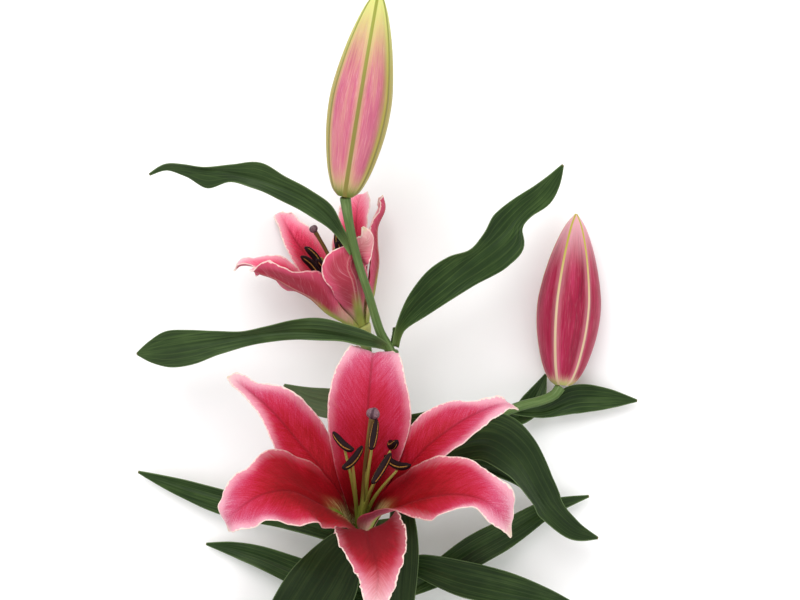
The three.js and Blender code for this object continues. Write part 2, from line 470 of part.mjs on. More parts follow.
// The frame of a bloom: X to the right seen from above, Z along the way it looks.
function bloomMatrix({ base, axis }) {
  const ahead = new THREE.Vector3(...axis).normalize();
  const right = new THREE.Vector3().crossVectors(ahead, UP).normalize();
  const back = new THREE.Vector3().crossVectors(ahead, right);
  return new THREE.Matrix4().makeBasis(right, back, ahead).setPosition(...base);
}

// The flared end of a bloom's stalk, which carries the tepals.
function receptacleRows(place) {
  const matrix = bloomMatrix(place);
  return RECEPTACLE.map(([height, radius]) => {
    const centre = new THREE.Vector3(0, 0, height).applyMatrix4(matrix);
    return [...centre.toArray(), radius];
  });
}

// Main stem, stalks and receptacles in one solid, with its surface moved outwards by grow.
function stemSolid(grow) {
  const stalk = (rows) => tubeGeometry(rows, { sides: STALK_SIDES, steps: 2 * (rows.length - 1), grow });
  const cup = (place) => tubeGeometry(receptacleRows(place), { sides: STALK_SIDES, steps: 4, grow });
  return joined([
    tubeGeometry(STEM, { sides: STEM_SIDES, steps: 14, slant: CUT_SLOPE, grow }),
    stalk(TOP_BUD_STALK), stalk(RIGHT_BUD_STALK), stalk(OPEN_BLOOM_STALK), stalk(HALF_OPEN_STALK),
    cup(OPEN_BLOOM), cup(HALF_OPEN_BLOOM),
  ]);
}

function stem() {
  return mesh('stem', geometryOf(stemSolid(0).subtract(underSurface())), MATERIALS.stem);
}

// A leaf from its rows. Its root is cut to fit round the stem or stalk that it grows from.
function leaf({ name, rows, cup, wave }, stemRoom) {
  const station = (u) => {
    const [x, y, z, left, right, leanX, leanY] = alongRows(rows, u);
    return {
      centre: new THREE.Vector3(x, y, z),
      face: new THREE.Vector3(leanX, leanY, 1).normalize(),
      halfWidths: [Math.max(left, 0.8), Math.max(right, 0.8)],
      curls: [cup, cup],
    };
  };
  const edge = (u, v) => {
    const [left, right] = alongRows(rows, u).slice(3, 5);
    const narrower = (right - left) * -Math.sign(v);
    const swing = Math.sin(2 * Math.PI * (LEAF_WAVES * u + 0.2 * Math.sign(v)));
    return v ** 2 * (TURN_UP * narrower + wave * Math.sin(Math.PI * u) * swing);
  };
  const shape = { steps: rows.length + 3, columns: 4, thickness: LEAF_THICKNESS, wave: edge };
  const blade = solidOf(bladeGeometry(station, shape));
  return mesh(name, geometryOf(largestPiece(blade.subtract(stemRoom))), MATERIALS.leaf);
}

// A tepal in its bloom's frame.
function tepal(name, { angle, roll, wave, rows }, look) {
  const turn = degToRad(angle);
  const outwards = new THREE.Vector3(Math.cos(turn), Math.sin(turn), 0);
  const sideways = new THREE.Vector3(-Math.sin(turn), Math.cos(turn), 0);
  const station = (u) => {
    const [distance, sway, height, left, right, leftCurl, rightCurl] = alongRows(rows, u);
    const before = alongRows(rows, Math.max(u - SPAN, 0));
    const after = alongRows(rows, Math.min(u + SPAN, 1));
    const centre = outwards.clone().multiplyScalar(distance)
      .addScaledVector(sideways, sway)
      .addScaledVector(UP, height);
    const face = outwards.clone().multiplyScalar(before[2] - after[2])
      .addScaledVector(UP, after[0] - before[0])
      .normalize()
      .addScaledVector(sideways, Math.tan(degToRad(roll)) * smoothstep(u, 0.3, 0.7));
    const halfWidths = [Math.max(left, 0.9), Math.max(right, 0.9)];
    return { centre, face, halfWidths, curls: [leftCurl, rightCurl] };
  };
  const [leftHeight, rightHeight, waves, leftStart, rightStart] = wave;
  const edge = (u, v) => {
    const rise = smoothstep(u, 0.3, 0.45) * (1 - smoothstep(u, 0.85, 1));
    const [height, start] = v < 0 ? [leftHeight, leftStart] : [rightHeight, rightStart];
    return height * rise * v ** 2 * Math.sin(2 * Math.PI * (waves * u + start));
  };
  const shape = { steps: 12, columns: 6, thickness: TEPAL_THICKNESS, wave: edge };
  return mesh(name, bladeGeometry(station, shape), look);
}

// A filament rises from beside the ovary, close to the style at first, and spreads above its knee.
function filamentRows({ tip: [x, y, height] }, index) {
  const turn = Math.atan2(y, x) / 2 + (Math.PI * (2 * index + 1)) / 12;
  const [rootX, rootY] = [2 * Math.cos(turn), 2 * Math.sin(turn)];
  const at = (spread, rise, thick) => [
    rootX + (x - rootX) * spread, rootY + (y - rootY) * spread, rise, FILAMENT_RADIUS * thick];
  return [at(0, 6, 1.2), at(0.14, 0.3 * height, 1.1), at(0.45, 0.65 * height, 1), at(1, height, 0.7)];
}

// Ovary, style and six filaments in one solid, which stands on the receptacle inside the tepals.
function organs(name, style, stamens) {
  const middle = tubeGeometry(style, { sides: 8, steps: 10 });
  const filament = (stamen, i) => tubeGeometry(filamentRows(stamen, i), { sides: 5, steps: 6 });
  return mesh(name, geometryOf(joined([middle, ...stamens.map(filament)])), MATERIALS.organs);
}

// An anther lies across the end of its filament and is held at the middle of its back.
function anther(name, stamen, index) {
  const [knee, end] = filamentRows(stamen, index).slice(2)
    .map(([x, y, z]) => new THREE.Vector3(x, y, z));
  const along = new THREE.Vector3(...stamen.lies).normalize();
  const ahead = end.clone().sub(knee).normalize();
  const slope = ahead.dot(along);
  const away = ahead.addScaledVector(along, -slope).normalize();
  const seat = ANTHER_RADIUS + GAP + FILAMENT_RADIUS * 0.7 * Math.abs(slope) - ANTHER_SET_IN;
  const centre = end.clone().addScaledVector(away, seat);
  const rows = ANTHER_SHAPE.map(([share, wide]) => {
    const point = centre.clone()
      .addScaledVector(along, share * ANTHER_LENGTH)
      .addScaledVector(away, ANTHER_BOW * (2 * share) ** 2);
    return [...point.toArray(), wide * ANTHER_RADIUS];
  });
  return mesh(name, tubeGeometry(rows, { sides: 8, steps: 6 }), MATERIALS.anther);
}

// The three-lobed end of the style.
function stigma(name, style) {
  const end = new THREE.Vector3(...style.at(-1).slice(0, 3));
  const before = new THREE.Vector3(...style.at(-2).slice(0, 3));
  const ahead = end.clone().sub(before).normalize();
  const radius = STIGMA_SWELL * style.at(-1)[3];
  const rows = STIGMA_SHAPE.map(([height, wide]) => {
    const centre = end.clone().addScaledVector(ahead, GAP + height * radius);
    return [...centre.toArray(), wide * radius];
  });
  const lobes = (angle) => 1 + 0.18 * Math.cos(3 * angle);
  return mesh(name, tubeGeometry(rows, { sides: 12, steps: 4, swell: lobes }), MATERIALS.stigma);
}

function bloom(prefix, { place, tepals, stamens, style, look }) {
  const group = new THREE.Group();
  tepals.forEach((one) => group.add(tepal(`${prefix}_tepal_${one.name}`, one, look)));
  group.add(organs(`${prefix}_filaments_and_style`, style, stamens));
  stamens.forEach((stamen, i) => group.add(anther(`${prefix}_anther_${i + 1}`, stamen, i)));
  group.add(stigma(`${prefix}_stigma`, style));
  group.applyMatrix4(bloomMatrix(place));
  return group;
}

function openBloom() {
  return bloom('open', {
    place: OPEN_BLOOM,
    tepals: OPEN_TEPALS,
    stamens: OPEN_STAMENS,
    style: OPEN_STYLE,
    look: MATERIALS.tepal,
  });
}

function halfOpenBloom() {
  return bloom('half', {
    place: HALF_OPEN_BLOOM,
    tepals: HALF_TEPALS,
    stamens: HALF_STAMENS,
    style: HALF_STYLE,
    look: MATERIALS.dullTepal,
  });
}

// A closed bud: six tepals folded together, with a rib on each of the three outer ones.
function bud(name, { base, tip, radius }, stemRoom, look) {
  const start = new THREE.Vector3(...base);
  const whole = new THREE.Vector3(...tip).sub(start);
  const rows = BUD_SHAPE.map(([along, wide]) => {
    const centre = start.clone().addScaledVector(whole, along);
    return [...centre.toArray(), wide * radius];
  });
  const ribs = (angle) => 0.98 + 0.025 * Math.cos(3 * angle) + 0.02 * Math.cos(6 * angle);
  const shape = solidOf(tubeGeometry(rows, { sides: BUD_SIDES, steps: 12, swell: ribs }));
  return mesh(name, geometryOf(shape.subtract(underSurface()).subtract(stemRoom)), look);
}

const lily = new THREE.Group();
const stemRoom = stemSolid(GAP);
lily.add(stem());
LEAVES.forEach((row) => lily.add(leaf(row, stemRoom)));
lily.add(openBloom());
lily.add(halfOpenBloom());
lily.add(bud('bud_top', TOP_BUD, stemRoom, MATERIALS.topBud));
lily.add(bud('bud_right', RIGHT_BUD, stemRoom, MATERIALS.rightBud));
lily.position.set(...HEAD_FROM_CENTRE);

export default lily;
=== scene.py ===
# A cut lily on a pale floor: fine tepals, leaves, buds and stem in place of the plain solids.
# Lengths are in millimetres, from the middle of the flower head, as in the part's source. Only the
# camera, the lights and the floor are in metres.

import math

import bmesh
import bpy
import numpy as np
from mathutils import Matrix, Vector
from mathutils.kdtree import KDTree


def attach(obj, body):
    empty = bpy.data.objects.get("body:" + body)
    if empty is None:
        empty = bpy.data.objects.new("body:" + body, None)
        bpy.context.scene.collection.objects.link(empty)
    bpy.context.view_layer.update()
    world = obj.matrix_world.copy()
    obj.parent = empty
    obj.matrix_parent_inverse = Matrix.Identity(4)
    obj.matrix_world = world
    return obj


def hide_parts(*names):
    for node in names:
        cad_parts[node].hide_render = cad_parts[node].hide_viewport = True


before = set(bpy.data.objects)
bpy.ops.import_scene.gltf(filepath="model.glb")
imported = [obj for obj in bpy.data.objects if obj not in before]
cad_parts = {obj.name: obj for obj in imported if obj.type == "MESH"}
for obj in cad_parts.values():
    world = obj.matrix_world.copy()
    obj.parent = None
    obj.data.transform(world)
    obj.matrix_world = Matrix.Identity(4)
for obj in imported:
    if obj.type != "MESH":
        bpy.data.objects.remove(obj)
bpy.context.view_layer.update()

# Driving values. A grid is the steps and columns of a blade, or the sides and steps of a tube.
MM = 0.001
HEAD_FROM_CENTRE = np.array([7.8, 122.2, 0.0])
CAMERA_HEIGHT = 1.66
PHOTO_WIDTH = 0.48
PHOTO_PLANE = 0.06
SENSOR_WIDTH = 36
FILAMENT_RADIUS = 1.1
ANTHER_LENGTH = 21
ANTHER_RADIUS = 2.5
ANTHER_BOW = 3.2
ANTHER_SEAT = 2.7
ANTHER_GRID = (40, 40)
LEAF_WAVES = 2.2
LEAF_VEINS = 7
LEAF_RIPPLES = 6.3
LEAF_SUNK = 1.2
LEAF_THICKNESS = 0.8
LEAF_GRID = (72, 34)
TURN_UP = 0.3
TEPAL_FRILLS = (9.7, 17.3)
TEPAL_VEINS = 13
TEPAL_THICKNESS = 0.95
TEPAL_GROOVE = 1.5
TEPAL_GRID = (90, 44)
EDGE_NOTCH = 0.1
STIGMA_SWELL = 1.64
STIGMA_GRID = (60, 24)
BUD_GRID = (180, 150)
STEM_GRID = (40, 120)
STALK_SIDES = 28
STALK_STEPS = 14
CUP_GRID = (32, 24)
ORGAN_GRID = (20, 60)
STEM_VOXEL = 0.7
STEM_SMOOTHING = 6
ORGAN_VOXEL = 0.34
ORGAN_SMOOTHING = 3
STEM_POINTS = 240
LINE_POINTS = 120
NARROWEST = 0.5
FLOOR_REACH = 6.0
FLOOR_DARK = (0.93, 0.93, 0.93, 1)
FLOOR_LIGHT = (0.96, 0.96, 0.96, 1)
SKY_STRENGTH = 0.92
FULL_TURN = 2 * math.pi

# Stem and stalks, each a list of x, y, z and radius
STEM = [
    (-4, -421, 5.1, 5.6), (-3, -370, 5.1, 5.5), (-1, -310, 9.5, 5.3), (1, -250, 18, 5.2),
    (1, -190, 27, 5.0), (-1, -130, 36, 4.8), (-4, -80, 42.5, 4.5), (-5, -30, 48, 4.2),
]
TOP_BUD_STALK = [
    (-4.6, -44, 46.5, 3.4), (-6, -31, 50, 3.2), (-12.2, -18.5, 57, 2.9), (-18.6, 3, 68, 2.6),
    (-24.8, 22.6, 79, 2.6), (-29.6, 43.1, 89, 2.8), (-32.2, 60.4, 96.7, 3.4),
]
RIGHT_BUD_STALK = [
    (-3, -96, 40.5, 3.4), (6, -89, 40, 3.2), (22, -82, 36.5, 3.1), (46, -75, 31, 3.1),
    (72.2, -65.5, 26, 3.1), (86, -62, 22.5, 3.1), (94.5, -58.5, 19.8, 3.2), (98.9, -53.2, 19.3, 3.6),
]
OPEN_BLOOM_STALK = [
    (1, -218, 23, 3.6), (-2, -207, 28, 3.4), (-10, -189, 32, 3.2), (-19.5, -165, 34, 3.3),
    (-23.7, -150.5, 40.4, 4),
]
HALF_OPEN_STALK = [
    (-3.5, -100, 40, 3.2), (-5.5, -84, 37, 3.1), (-12, -66, 31, 3.0), (-18.5, -42, 29.5, 3.1),
    (-21.8, -21.2, 32.6, 3.6),
]
RECEPTACLE = [(-9, 3.3), (-5, 4.2), (-2, 5.6), (0.6, 6.2), (1.9, 5.6)]

# Blooms: where the tepals start and which way the bloom looks
OPEN_BLOOM = {"base": (-23.7, -146.8, 45), "axis": (0, 0.643, 0.766)}
HALF_OPEN_BLOOM = {"base": (-23.4, -17, 34), "axis": (-0.39, 0.87, 0.3)}

# Tepals: the direction round the axis and the roll of the face, in degrees. Then the waves: their
# height at the left and right edge, how many there are and where they start at the left and right.
# Then where along the tepal its tip starts to pale, how much painted light lightens it, negative for painted
# shade that darkens it, and how ruffled its edges are. Then rows of distance from the axis, sway to the
# left, height along the axis, half-width to the left and right, and how far each side curls up, in degrees.
# A row of five numbers has one half-width and one curl for both sides.
OPEN_TEPALS = {
    "inner_top": (84, 0, (1.2, 1.2, 3.1, 0.7, 0.3), (0.94, 0.26, 1), [
        (4.4, 0, 2.2, 4.1, 52), (6.3, 0, 16, 5.9, 52), (11.5, 0, 33, 11.5, 48),
        (22.9, 0, 52, 19, 21.5, 36, 36), (40.5, 0, 73.5, 24, 27.5, 26, 26), (58, 0, 88, 22.3, 22, 22, 22),
        (71.5, 0, 93.3, 15.5, 16, 20, 20), (80.2, 0, 83.3, 8, 14), (84.5, 0, 68, 0.9, 2)]),
    "inner_left": (209, 0, (2.6, 1, 5.6, 0.3, 0.1), (0.9, 0, 1), [
        (4.4, 0, 2.2, 4.1, 52), (6.3, 0, 18, 7, 5.9, 44, 52), (11.5, 0, 37, 21.5, 12.5, 19, 48),
        (23, -1, 53, 24, 25.5, 20, 40), (41.3, -3.5, 77, 30, 29, 4, 26),
        (59.6, -1, 90.5, 25.5, 20, 2, 22), (73.5, 0, 91, 18, 17, 6, 20), (84, 0, 83.5, 11, 11.5, 10, 16),
        (85.5, 0, 71.5, 0.9, 2)]),
    "inner_right": (331, 0, (3.4, 3.4, 3.1, 0.7, 0.11), (0.88, 0, 1), [
        (4.4, 0, 2.2, 4.1, 52), (6.3, 0, 18, 5.9, 7, 52, 60), (11.5, 0, 37, 11.5, 13.5, 46, 80),
        (23, 0, 52, 24, 10, 38, 66), (42, 0, 75, 25, 14.5, 24, 10), (62, 0, 92.5, 25, 21.5, 22, 1),
        (80, 0, 99.5, 16, 9.5, 20, 6), (93, 0, 92.5, 12, 8, 16, 8), (99.7, 0, 75, 0.9, 2)]),
    "outer_right": (25, 0, (2.2, 2.2, 3.1, 0.7, 0.3), (0.9, 0.16, 1), [
        (5.6, 0, 2.2, 4.8, 48), (7.7, 0, 16, 6.6, 48), (13.4, 0.2, 33, 9.6, 40), (25, 0.4, 50.5, 13, 28),
        (42.4, 0.8, 70.5, 16.5, 15, 10, 22), (64, 1.2, 82.5, 16.5, 17, 18, 18),
        (82, 1.7, 85.5, 6.5, 9.5, 16, 16), (95, 2, 83, 4, 5.5, 12, 12), (105, 3, 71, 0.9, 2)]),
    "outer_left": (139.5, 20, (2.4, 2.4, 3.1, 0.7, 0.3), (0.8, 0.18, 1.3), [
        (5.6, 0, 2.2, 4.8, 48), (7.7, 0, 16, 6.6, 48), (13.4, 0.4, 33, 9.6, 40), (25, 1, 49, 13.5, 28),
        (45.5, 1.8, 63, 17, 18.5, 20, 20), (66, 2.6, 77, 8.5, 16.5, 16, 18), (84, 2, 80, 5, 7.5, 14, 14),
        (96.5, 1, 79, 4, 5.5, 10, 10), (105, 0, 75, 0.9, 2)]),
    "outer_bottom": (275, 0, (2.6, 2.6, 3.1, 0.7, 0.3), (0.68, -0.18, 3), [
        (5.6, 0, 2.2, 4.8, 48), (10.5, 0, 14, 6.6, 48), (24.5, 0, 31, 10.5, 40),
        (30, 0.5, 50, 17, 14, 52, 28), (40, 1.5, 70, 20, 19.5, 30, 22), (62.5, 2.8, 82.4, 20, 19, 18, 18),
        (81.6, 4.2, 85.2, 12.5, 12, 16, 16), (93.5, 2, 78.7, 7.2, 7.5, 12, 12), (98, 1, 70, 0.9, 2)]),
}
HALF_TEPALS = {
    "outer_right": (354, 0, (0.8, 0.8, 3.1, 0.7, 0.3), (0.92, 0, 0.5), [
        (5.6, 0, 2.2, 4.6, 46), (9.8, 0, 10, 6.4, 42), (17, 0, 22, 9, 40), (24.5, 0.5, 34.6, 11, 40),
        (28.5, 1, 46, 10, 44), (33, 1, 56, 7, 50), (41, 1, 64, 5.5, 60), (43.5, 1, 69.5, 4, 60),
        (44.5, 1, 72, 0.9, 2)]),
    "inner_back": (52, 0, (1.6, 1.6, 3.1, 0.7, 0.3), (0.92, 0, 0.5), [
        (4.4, 0, 2.2, 3.9, 50), (6.8, 0, 9.2, 5.9, 44), (11.7, -0.2, 19.7, 9.3, 38),
        (18, -0.5, 31.5, 12.5, 34), (25, -1, 42.6, 14.5, 13, 31, 36), (33, -1.5, 53.2, 14, 28),
        (41, -2.2, 61.7, 12, 24), (48.5, -3, 66.5, 7.5, 18), (54, -4, 65, 0.9, 2)]),
    "outer_back": (112, 0, (1.4, 1.4, 3.1, 0.7, 0.3), (0.92, 0, 0.5), [
        (5.6, 0, 2.2, 4.6, 46), (8.6, 0, 10, 6.4, 40), (15, 0.2, 22, 9, 34), (23, 0.4, 35, 11.6, 28),
        (32.8, 0.2, 46.6, 11.5, 13, 26, 26), (42, -0.6, 56.7, 8.5, 12, 24, 24),
        (50, -2.3, 64.6, 6, 9, 20, 20), (57.2, -4.6, 70.3, 5.2, 6.8, 14, 14), (59.4, -7, 71.7, 0.9, 2)]),
    "inner_left": (166, 0, (1.8, 1.8, 3.1, 0.7, 0.3), (0.92, 0, 0.5), [
        (4.4, 0, 2.2, 3.9, 50), (6.8, 0, 9.2, 5.9, 44), (11.7, -0.2, 19.7, 9, 38),
        (18, -0.5, 31.3, 11.5, 34), (25.5, -1, 42, 13.5, 12, 31, 38), (34.3, -1.5, 52.2, 13.5, 28),
        (43.8, -2.2, 60, 11.5, 24), (53, -3, 63.6, 7, 18), (59.3, -4, 61, 0.9, 2)]),
    "outer_left": (214, 0, (3, 3, 3.1, 0.89, 0.3), (0.92, 0, 0.5), [
        (5.6, 0, 2.2, 4.6, 46), (9.8, 0, 10, 6.6, 6.4, 50, 40), (17.3, 0, 22, 10, 9, 60, 34),
        (23.4, 0, 35.5, 16, 11, 68, 28), (33, 0, 48, 16, 11.5, 70, 22), (41, 0, 59, 14, 10, 60, 18),
        (46.5, -2, 65, 9.5, 7, 40, 14), (49.5, -4, 68, 5.5, 4.5, 20, 10), (51, -6, 69, 0.9, 2)]),
    "inner_front": (286, 0, (0.8, 0.8, 3.1, 0.7, 0.3), (0.74, 0, 0.5), [
        (4.4, 0, 2.2, 3.9, 50), (6.8, 0, 10, 6, 56), (13, 0, 19, 9.5, 52),
        (21.5, 0, 29.5, 12, 13, 38, 38), (28, 0, 39, 12, 14.5, 30, 32), (30.5, 0, 48.5, 12, 15.5, 26, 34),
        (31, 6, 54, 13, 7, 24, 30), (30, 17, 57, 6, 4.5, 20, 20), (31, 18, 65, 0.9, 2)]),
}

# Stamens: where each filament ends in its bloom's frame, and which way its anther lies
OPEN_STAMENS = [
    ((8, 13, 86), (1, 7, 0.5)), ((-9, 15, 75), (5, -7, 2)), ((-4, 2, 77), (5, 8, -1)),
    ((12.5, -5, 80), (5, 8, 3)), ((22, 4, 68), (6, -5, 3)), ((18, 16, 71), (1.5, -4.5, 6)),
]
OPEN_STYLE = [
    (0, 0, 1.9, 3.2), (0, 0, 9, 3.3), (0, 0, 13, 2.4), (0.5, 0.3, 24, 2.7), (1.2, 1, 33, 2.1),
    (1.6, 3, 42, 1.4), (3, 10, 62, 1.3), (5.4, 19, 80, 1.5), (7.6, 25.5, 90, 2.2),
]
HALF_STAMENS = [
    ((-9, 0, 49), (-2, 0, 9)), ((-5, 8, 49), (-1, 2, 9)), ((4.4, -7, 49), (-1, -1, 8)),
    ((5, 8, 51), (1, 2, 8)), ((9, 0, 47), (2, 0, 9)), ((-5, -8, 46), (-1, -1, 9)),
]
HALF_STYLE = [
    (0, 0, 1.9, 3.2), (0, 0, 8, 3.2), (0, 0, 11, 2.3), (0, 0, 20, 2.5), (0, 0, 27, 2.0),
    (0, 0, 34, 1.3), (0, 0.3, 50, 1.2), (-0.8, 0.6, 61, 1.2), (-1.5, 1, 67, 1.45),
]
ANTHER_SHAPE = [(-0.5, 0.28), (-0.38, 0.8), (-0.14, 1), (0.14, 1), (0.38, 0.8), (0.5, 0.28)]
STIGMA_SHAPE = [(0, 0.51), (0.44, 0.9), (1, 1), (1.5, 0.8), (1.78, 0.37)]

# Buds: base, tip, greatest radius, and how far the ribs are turned round the bud, in degrees
TOP_BUD = ((-32.3, 60.8, 96.8), (-12.2, 180, 114), 19, 0)
RIGHT_BUD = ((99.6, -52.4, 19.1), (108.4, 53, 19.1), 20, -24)
BUD_SHAPE = [
    (0, 0.25), (0.04, 0.48), (0.14, 0.73), (0.3, 0.94), (0.45, 1), (0.57, 0.93),
    (0.71, 0.76), (0.83, 0.55), (0.93, 0.31), (1, 0.04),
]

# Leaves: how far the sides curl up in degrees, the height of the waves, the painted light, from a painted
# sheen that lightens an upper leaf, up to 1, to painted shade that darkens a lower one, down to -1, and rows
# of x, y, z, half-width to the left and right, and how far the face leans towards +X and +Y. A row without a
# lean looks straight up, and one without a second half-width has the same on both sides.
LEAVES = {
    "leaf_bud_left": (26, 1, 0.1, [
        (-27.7, 27.8, 81, 2.4, 2.4, 0, -0.3), (-36.1, 41.3, 87.5, 3.6, 3.6, -0.2, -0.3),
        (-44.9, 51.5, 91, 6, 7.2, -0.3, -0.3), (-55.8, 59.5, 93.5, 7.6, 7, -0.2, -0.3),
        (-69, 65.7, 95, 7.3, 8, -0.1, -0.3), (-83.7, 70.8, 94, 5.5, 11.2, -0.1, -0.3),
        (-98.6, 74.3, 90, 4.8, 6.2, 0, -0.3), (-113.8, 76.8, 84, 11.4, 2.4, 0, -0.3),
        (-127.6, 78.4, 77, 5.5, 2.6, 0, -0.3), (-139.4, 79.3, 69.5, 2.3, 2.3, 0, -0.3),
        (-150.1, 75.2, 62, 0.8, 0.8, 0, -0.3)]),
    "leaf_upper_right": (24, 1.2, 0, [
        (-3, -29, 49, 2.2), (0, -16.3, 55, 2.6, 3.8, -0.2, -0.1), (10.8, -3, 61, 8.2, 8.6, -0.1, -0.2),
        (23.9, 8.4, 66, 12.2, 11, -0.1, -0.2), (35.8, 18.5, 69, 10.8, 13.4, 0, -0.2),
        (45.3, 26.2, 71, 6.2, 16.2, 0.1, -0.2), (54.2, 33.3, 72, 8.6, 17.2, 0.2, -0.1),
        (62, 40.5, 71, 12.6, 16, 0.3, 0), (67.4, 47.1, 68.5, 11.4, 7.6, 0.3, 0),
        (74.2, 54.4, 65, 9.2, 6.4, 0.2, -0.1), (84, 63.6, 59.5, 6.6, 8.6, 0.1, -0.2),
        (91.5, 72.3, 54, 3.6, 6, 0, -0.1), (98.5, 81.6, 48, 0.8)]),
    "leaf_upper_left": (22, 1.2, 0.12, [
        (-6.5, -29, 50, 1.8, 1.8, 0.3, 0), (-13, -26.2, 63, 2.8, 3.6, 0.4, -0.1),
        (-21.8, -24.4, 66.6, 3, 6.4, 0.3, -0.2), (-34.3, -21.6, 68, 2.6, 7.8, 0.1, -0.3),
        (-49.1, -19.6, 73, 3.8, 9.8, 0, -0.4), (-63.9, -19, 75.5, 5, 9, 0, -0.5),
        (-78.7, -20.1, 75.5, 5.4, 6, -0.1, -0.5), (-93.7, -22, 73, 6.3, 4.4, -0.1, -0.4),
        (-108.8, -24.5, 69.5, 8, 6.6, -0.1, -0.2), (-124.1, -26.9, 65, 11.8, 9.4, -0.2, 0),
        (-138, -29.2, 60, 11.6, 11, -0.2, 0), (-149.7, -31, 55, 7.2, 6.2, -0.2, 0),
        (-158.9, -32.5, 50, 0.8, 0.8, -0.2, 0)]),
    "leaf_behind_left": (18, 1, 0.3, [
        (-4.5, -72, 43, 3), (-21.2, -63.7, 44.5, 8), (-39.5, -63.3, 40, 9.5), (-56.1, -59.8, 34, 7),
        (-71, -52, 27, 0.8)]),
    "leaf_low_left": (20, 1.4, 0, [
        (0, -158, 31, 3.5), (-33.6, -146, 24, 4.5, 9.5), (-67.5, -134.5, 20, 7, 10, 0, -0.1),
        (-103, -123.4, 15, 11.4, 5.6, 0, -0.2), (-136, -114.3, 10, 7.2, 4, 0, -0.1),
        (-162.4, -106.6, 6, 0.8)]),
    "leaf_lower_left": (18, 1.2, 0, [
        (1, -186, 26.5, 3.5), (-33.7, -177, 18, 8.5), (-61.5, -168.3, 14, 9), (-85.2, -159.3, 10, 7),
        (-104, -154.2, 7, 4.5), (-120.4, -151.4, 4.5, 0.8)]),
    "leaf_broad_left": (22, 2.4, -0.5, [
        (-2, -136, 34, 4, 4, -0.2, 0), (-28.5, -153.8, 30.5, 10, 17, -0.1, 0.1),
        (-44, -177, 34, 17.5, 26, 0, 0.1), (-62, -207, 32, 16.5, 25, -0.1, 0),
        (-80, -239, 22, 11, 17, -0.1, -0.1), (-98.9, -268.8, 11, 0.8)]),
    "leaf_front": (26, 1.2, -0.5, [
        (-1, -116, 39, 3.4, 3.4, 0, 0.3), (1.2, -132.7, 50, 8, 8, 0, 0.2), (1.2, -153.6, 53, 10.5),
        (-0.5, -181, 49, 9.5, 9.5, 0, -0.1), (-2, -206, 40, 6, 6, 0, -0.2), (-4, -228, 31, 0.8)]),
    "leaf_lower_right": (22, 1.6, -0.25, [
        (1, -161, 32, 3.5), (15.2, -162.6, 36, 8), (37.8, -169.3, 38, 11), (64, -175.8, 33, 10.5),
        (88.9, -182.7, 25, 6.5), (109.6, -188.4, 17, 0.8)]),
    "leaf_low_right": (20, 1.4, 0, [
        (1, -180, 27.5, 3.5), (24.5, -167.5, 22, 8), (46.1, -154, 19, 9.8),
        (69, -141.8, 15, 8.8, 8.8, 0, -0.1), (92.7, -128.5, 10, 5.4), (117.2, -121.6, 6, 0.8)]),
    "leaf_arched_right": (24, 2.2, -0.4, [
        (-2, -104, 39, 3.5, 3.5, 0, 0.1), (24, -91, 47, 9, 9, 0, 0.1),
        (51.3, -83.5, 52, 17, 14, 0.1, 0.1), (70, -94.3, 50, 17, 15.5, 0.4, 0.2),
        (83.7, -115.5, 43, 13, 12, 0.6, 0.4), (92, -128, 36, 8.6, 8.6, 0.3, 0.3),
        (105.8, -140.6, 30, 6.5, 6.5, 0.2, 0.2), (121.4, -146, 25, 0.8)]),
    "leaf_behind_bud": (16, 0.8, 0, [
        (63, -68.9, 27.5, 2.6), (73.5, -73.5, 17, 7.6, 3.5), (82.5, -62.5, 11, 7),
        (90.5, -46, 6.5, 0.8)]),
    "bract_right": (18, 0.8, 0, [
        (66, -67.5, 27, 2.2), (88, -68.5, 14.5, 4.4), (107.6, -61.5, 10.5, 9), (126.3, -61, 9.5, 7),
        (147, -62.4, 7, 0.8)]),
    "leaf_behind_right": (18, 1, 0, [
        (-4, -74, 42.5, 3.4), (15, -75.5, 46, 8), (37.8, -70, 43, 8), (56, -71, 37, 4.6),
        (69, -75, 33, 0.8)]),
    "leaf_under_right": (20, 1.2, 0, [
        (0, -125, 36, 3.5), (21.3, -110, 37, 8.6), (46.2, -103, 36.5, 10, 3), (68.3, -109.5, 31, 7, 2),
        (85.7, -122.4, 25, 0.8)]),
    "bract_top": (20, 0, 0, [
        (-5, -31, 47, 1.8), (-2.6, -22.5, 48, 2.6), (-3.6, -16.5, 48.5, 0.8)]),
    "leaf_stem_left_1": (22, 1.6, 0, [
        (0, -262, 16, 3.6), (-24, -258, 20, 9), (-54, -268, 18, 12.5), (-82, -290, 11, 9.5, 9.5, -0.1, 0),
        (-104, -314, 5, 0.8)]),
    "leaf_stem_right_1": (22, 1.6, 0, [
        (1, -236, 20, 3.6), (27, -228, 24, 9.5), (60, -234, 22, 13), (92, -250, 13, 9.5, 9.5, 0.1, 0),
        (118, -270, 5, 0.8)]),
    "leaf_stem_right_2": (22, 1.6, 0, [
        (0, -288, 12.5, 3.6), (25, -287, 17, 9), (56, -301, 15, 12.5), (82, -324, 9, 9, 9, 0.1, 0),
        (100, -348, 4, 0.8)]),
    "leaf_stem_left_2": (22, 1.4, 0, [
        (-1, -318, 9, 3.4), (-22, -323, 13, 8.5), (-47, -343, 12, 11), (-67, -367, 8, 8, 8, -0.1, 0),
        (-80, -391, 4, 0.8)]),
    "leaf_stem_front": (26, 1.4, 0, [
        (1, -246, 19, 3.4, 3.4, 0, 0.5), (6, -262, 34, 8, 8, 0.2, 0.5), (11, -286, 42, 11, 11, 0.2, 0.1),
        (13, -316, 38, 9, 9, 0.2, -0.3), (11, -345, 26, 0.8, 0.8, 0, -0.4)]),
}

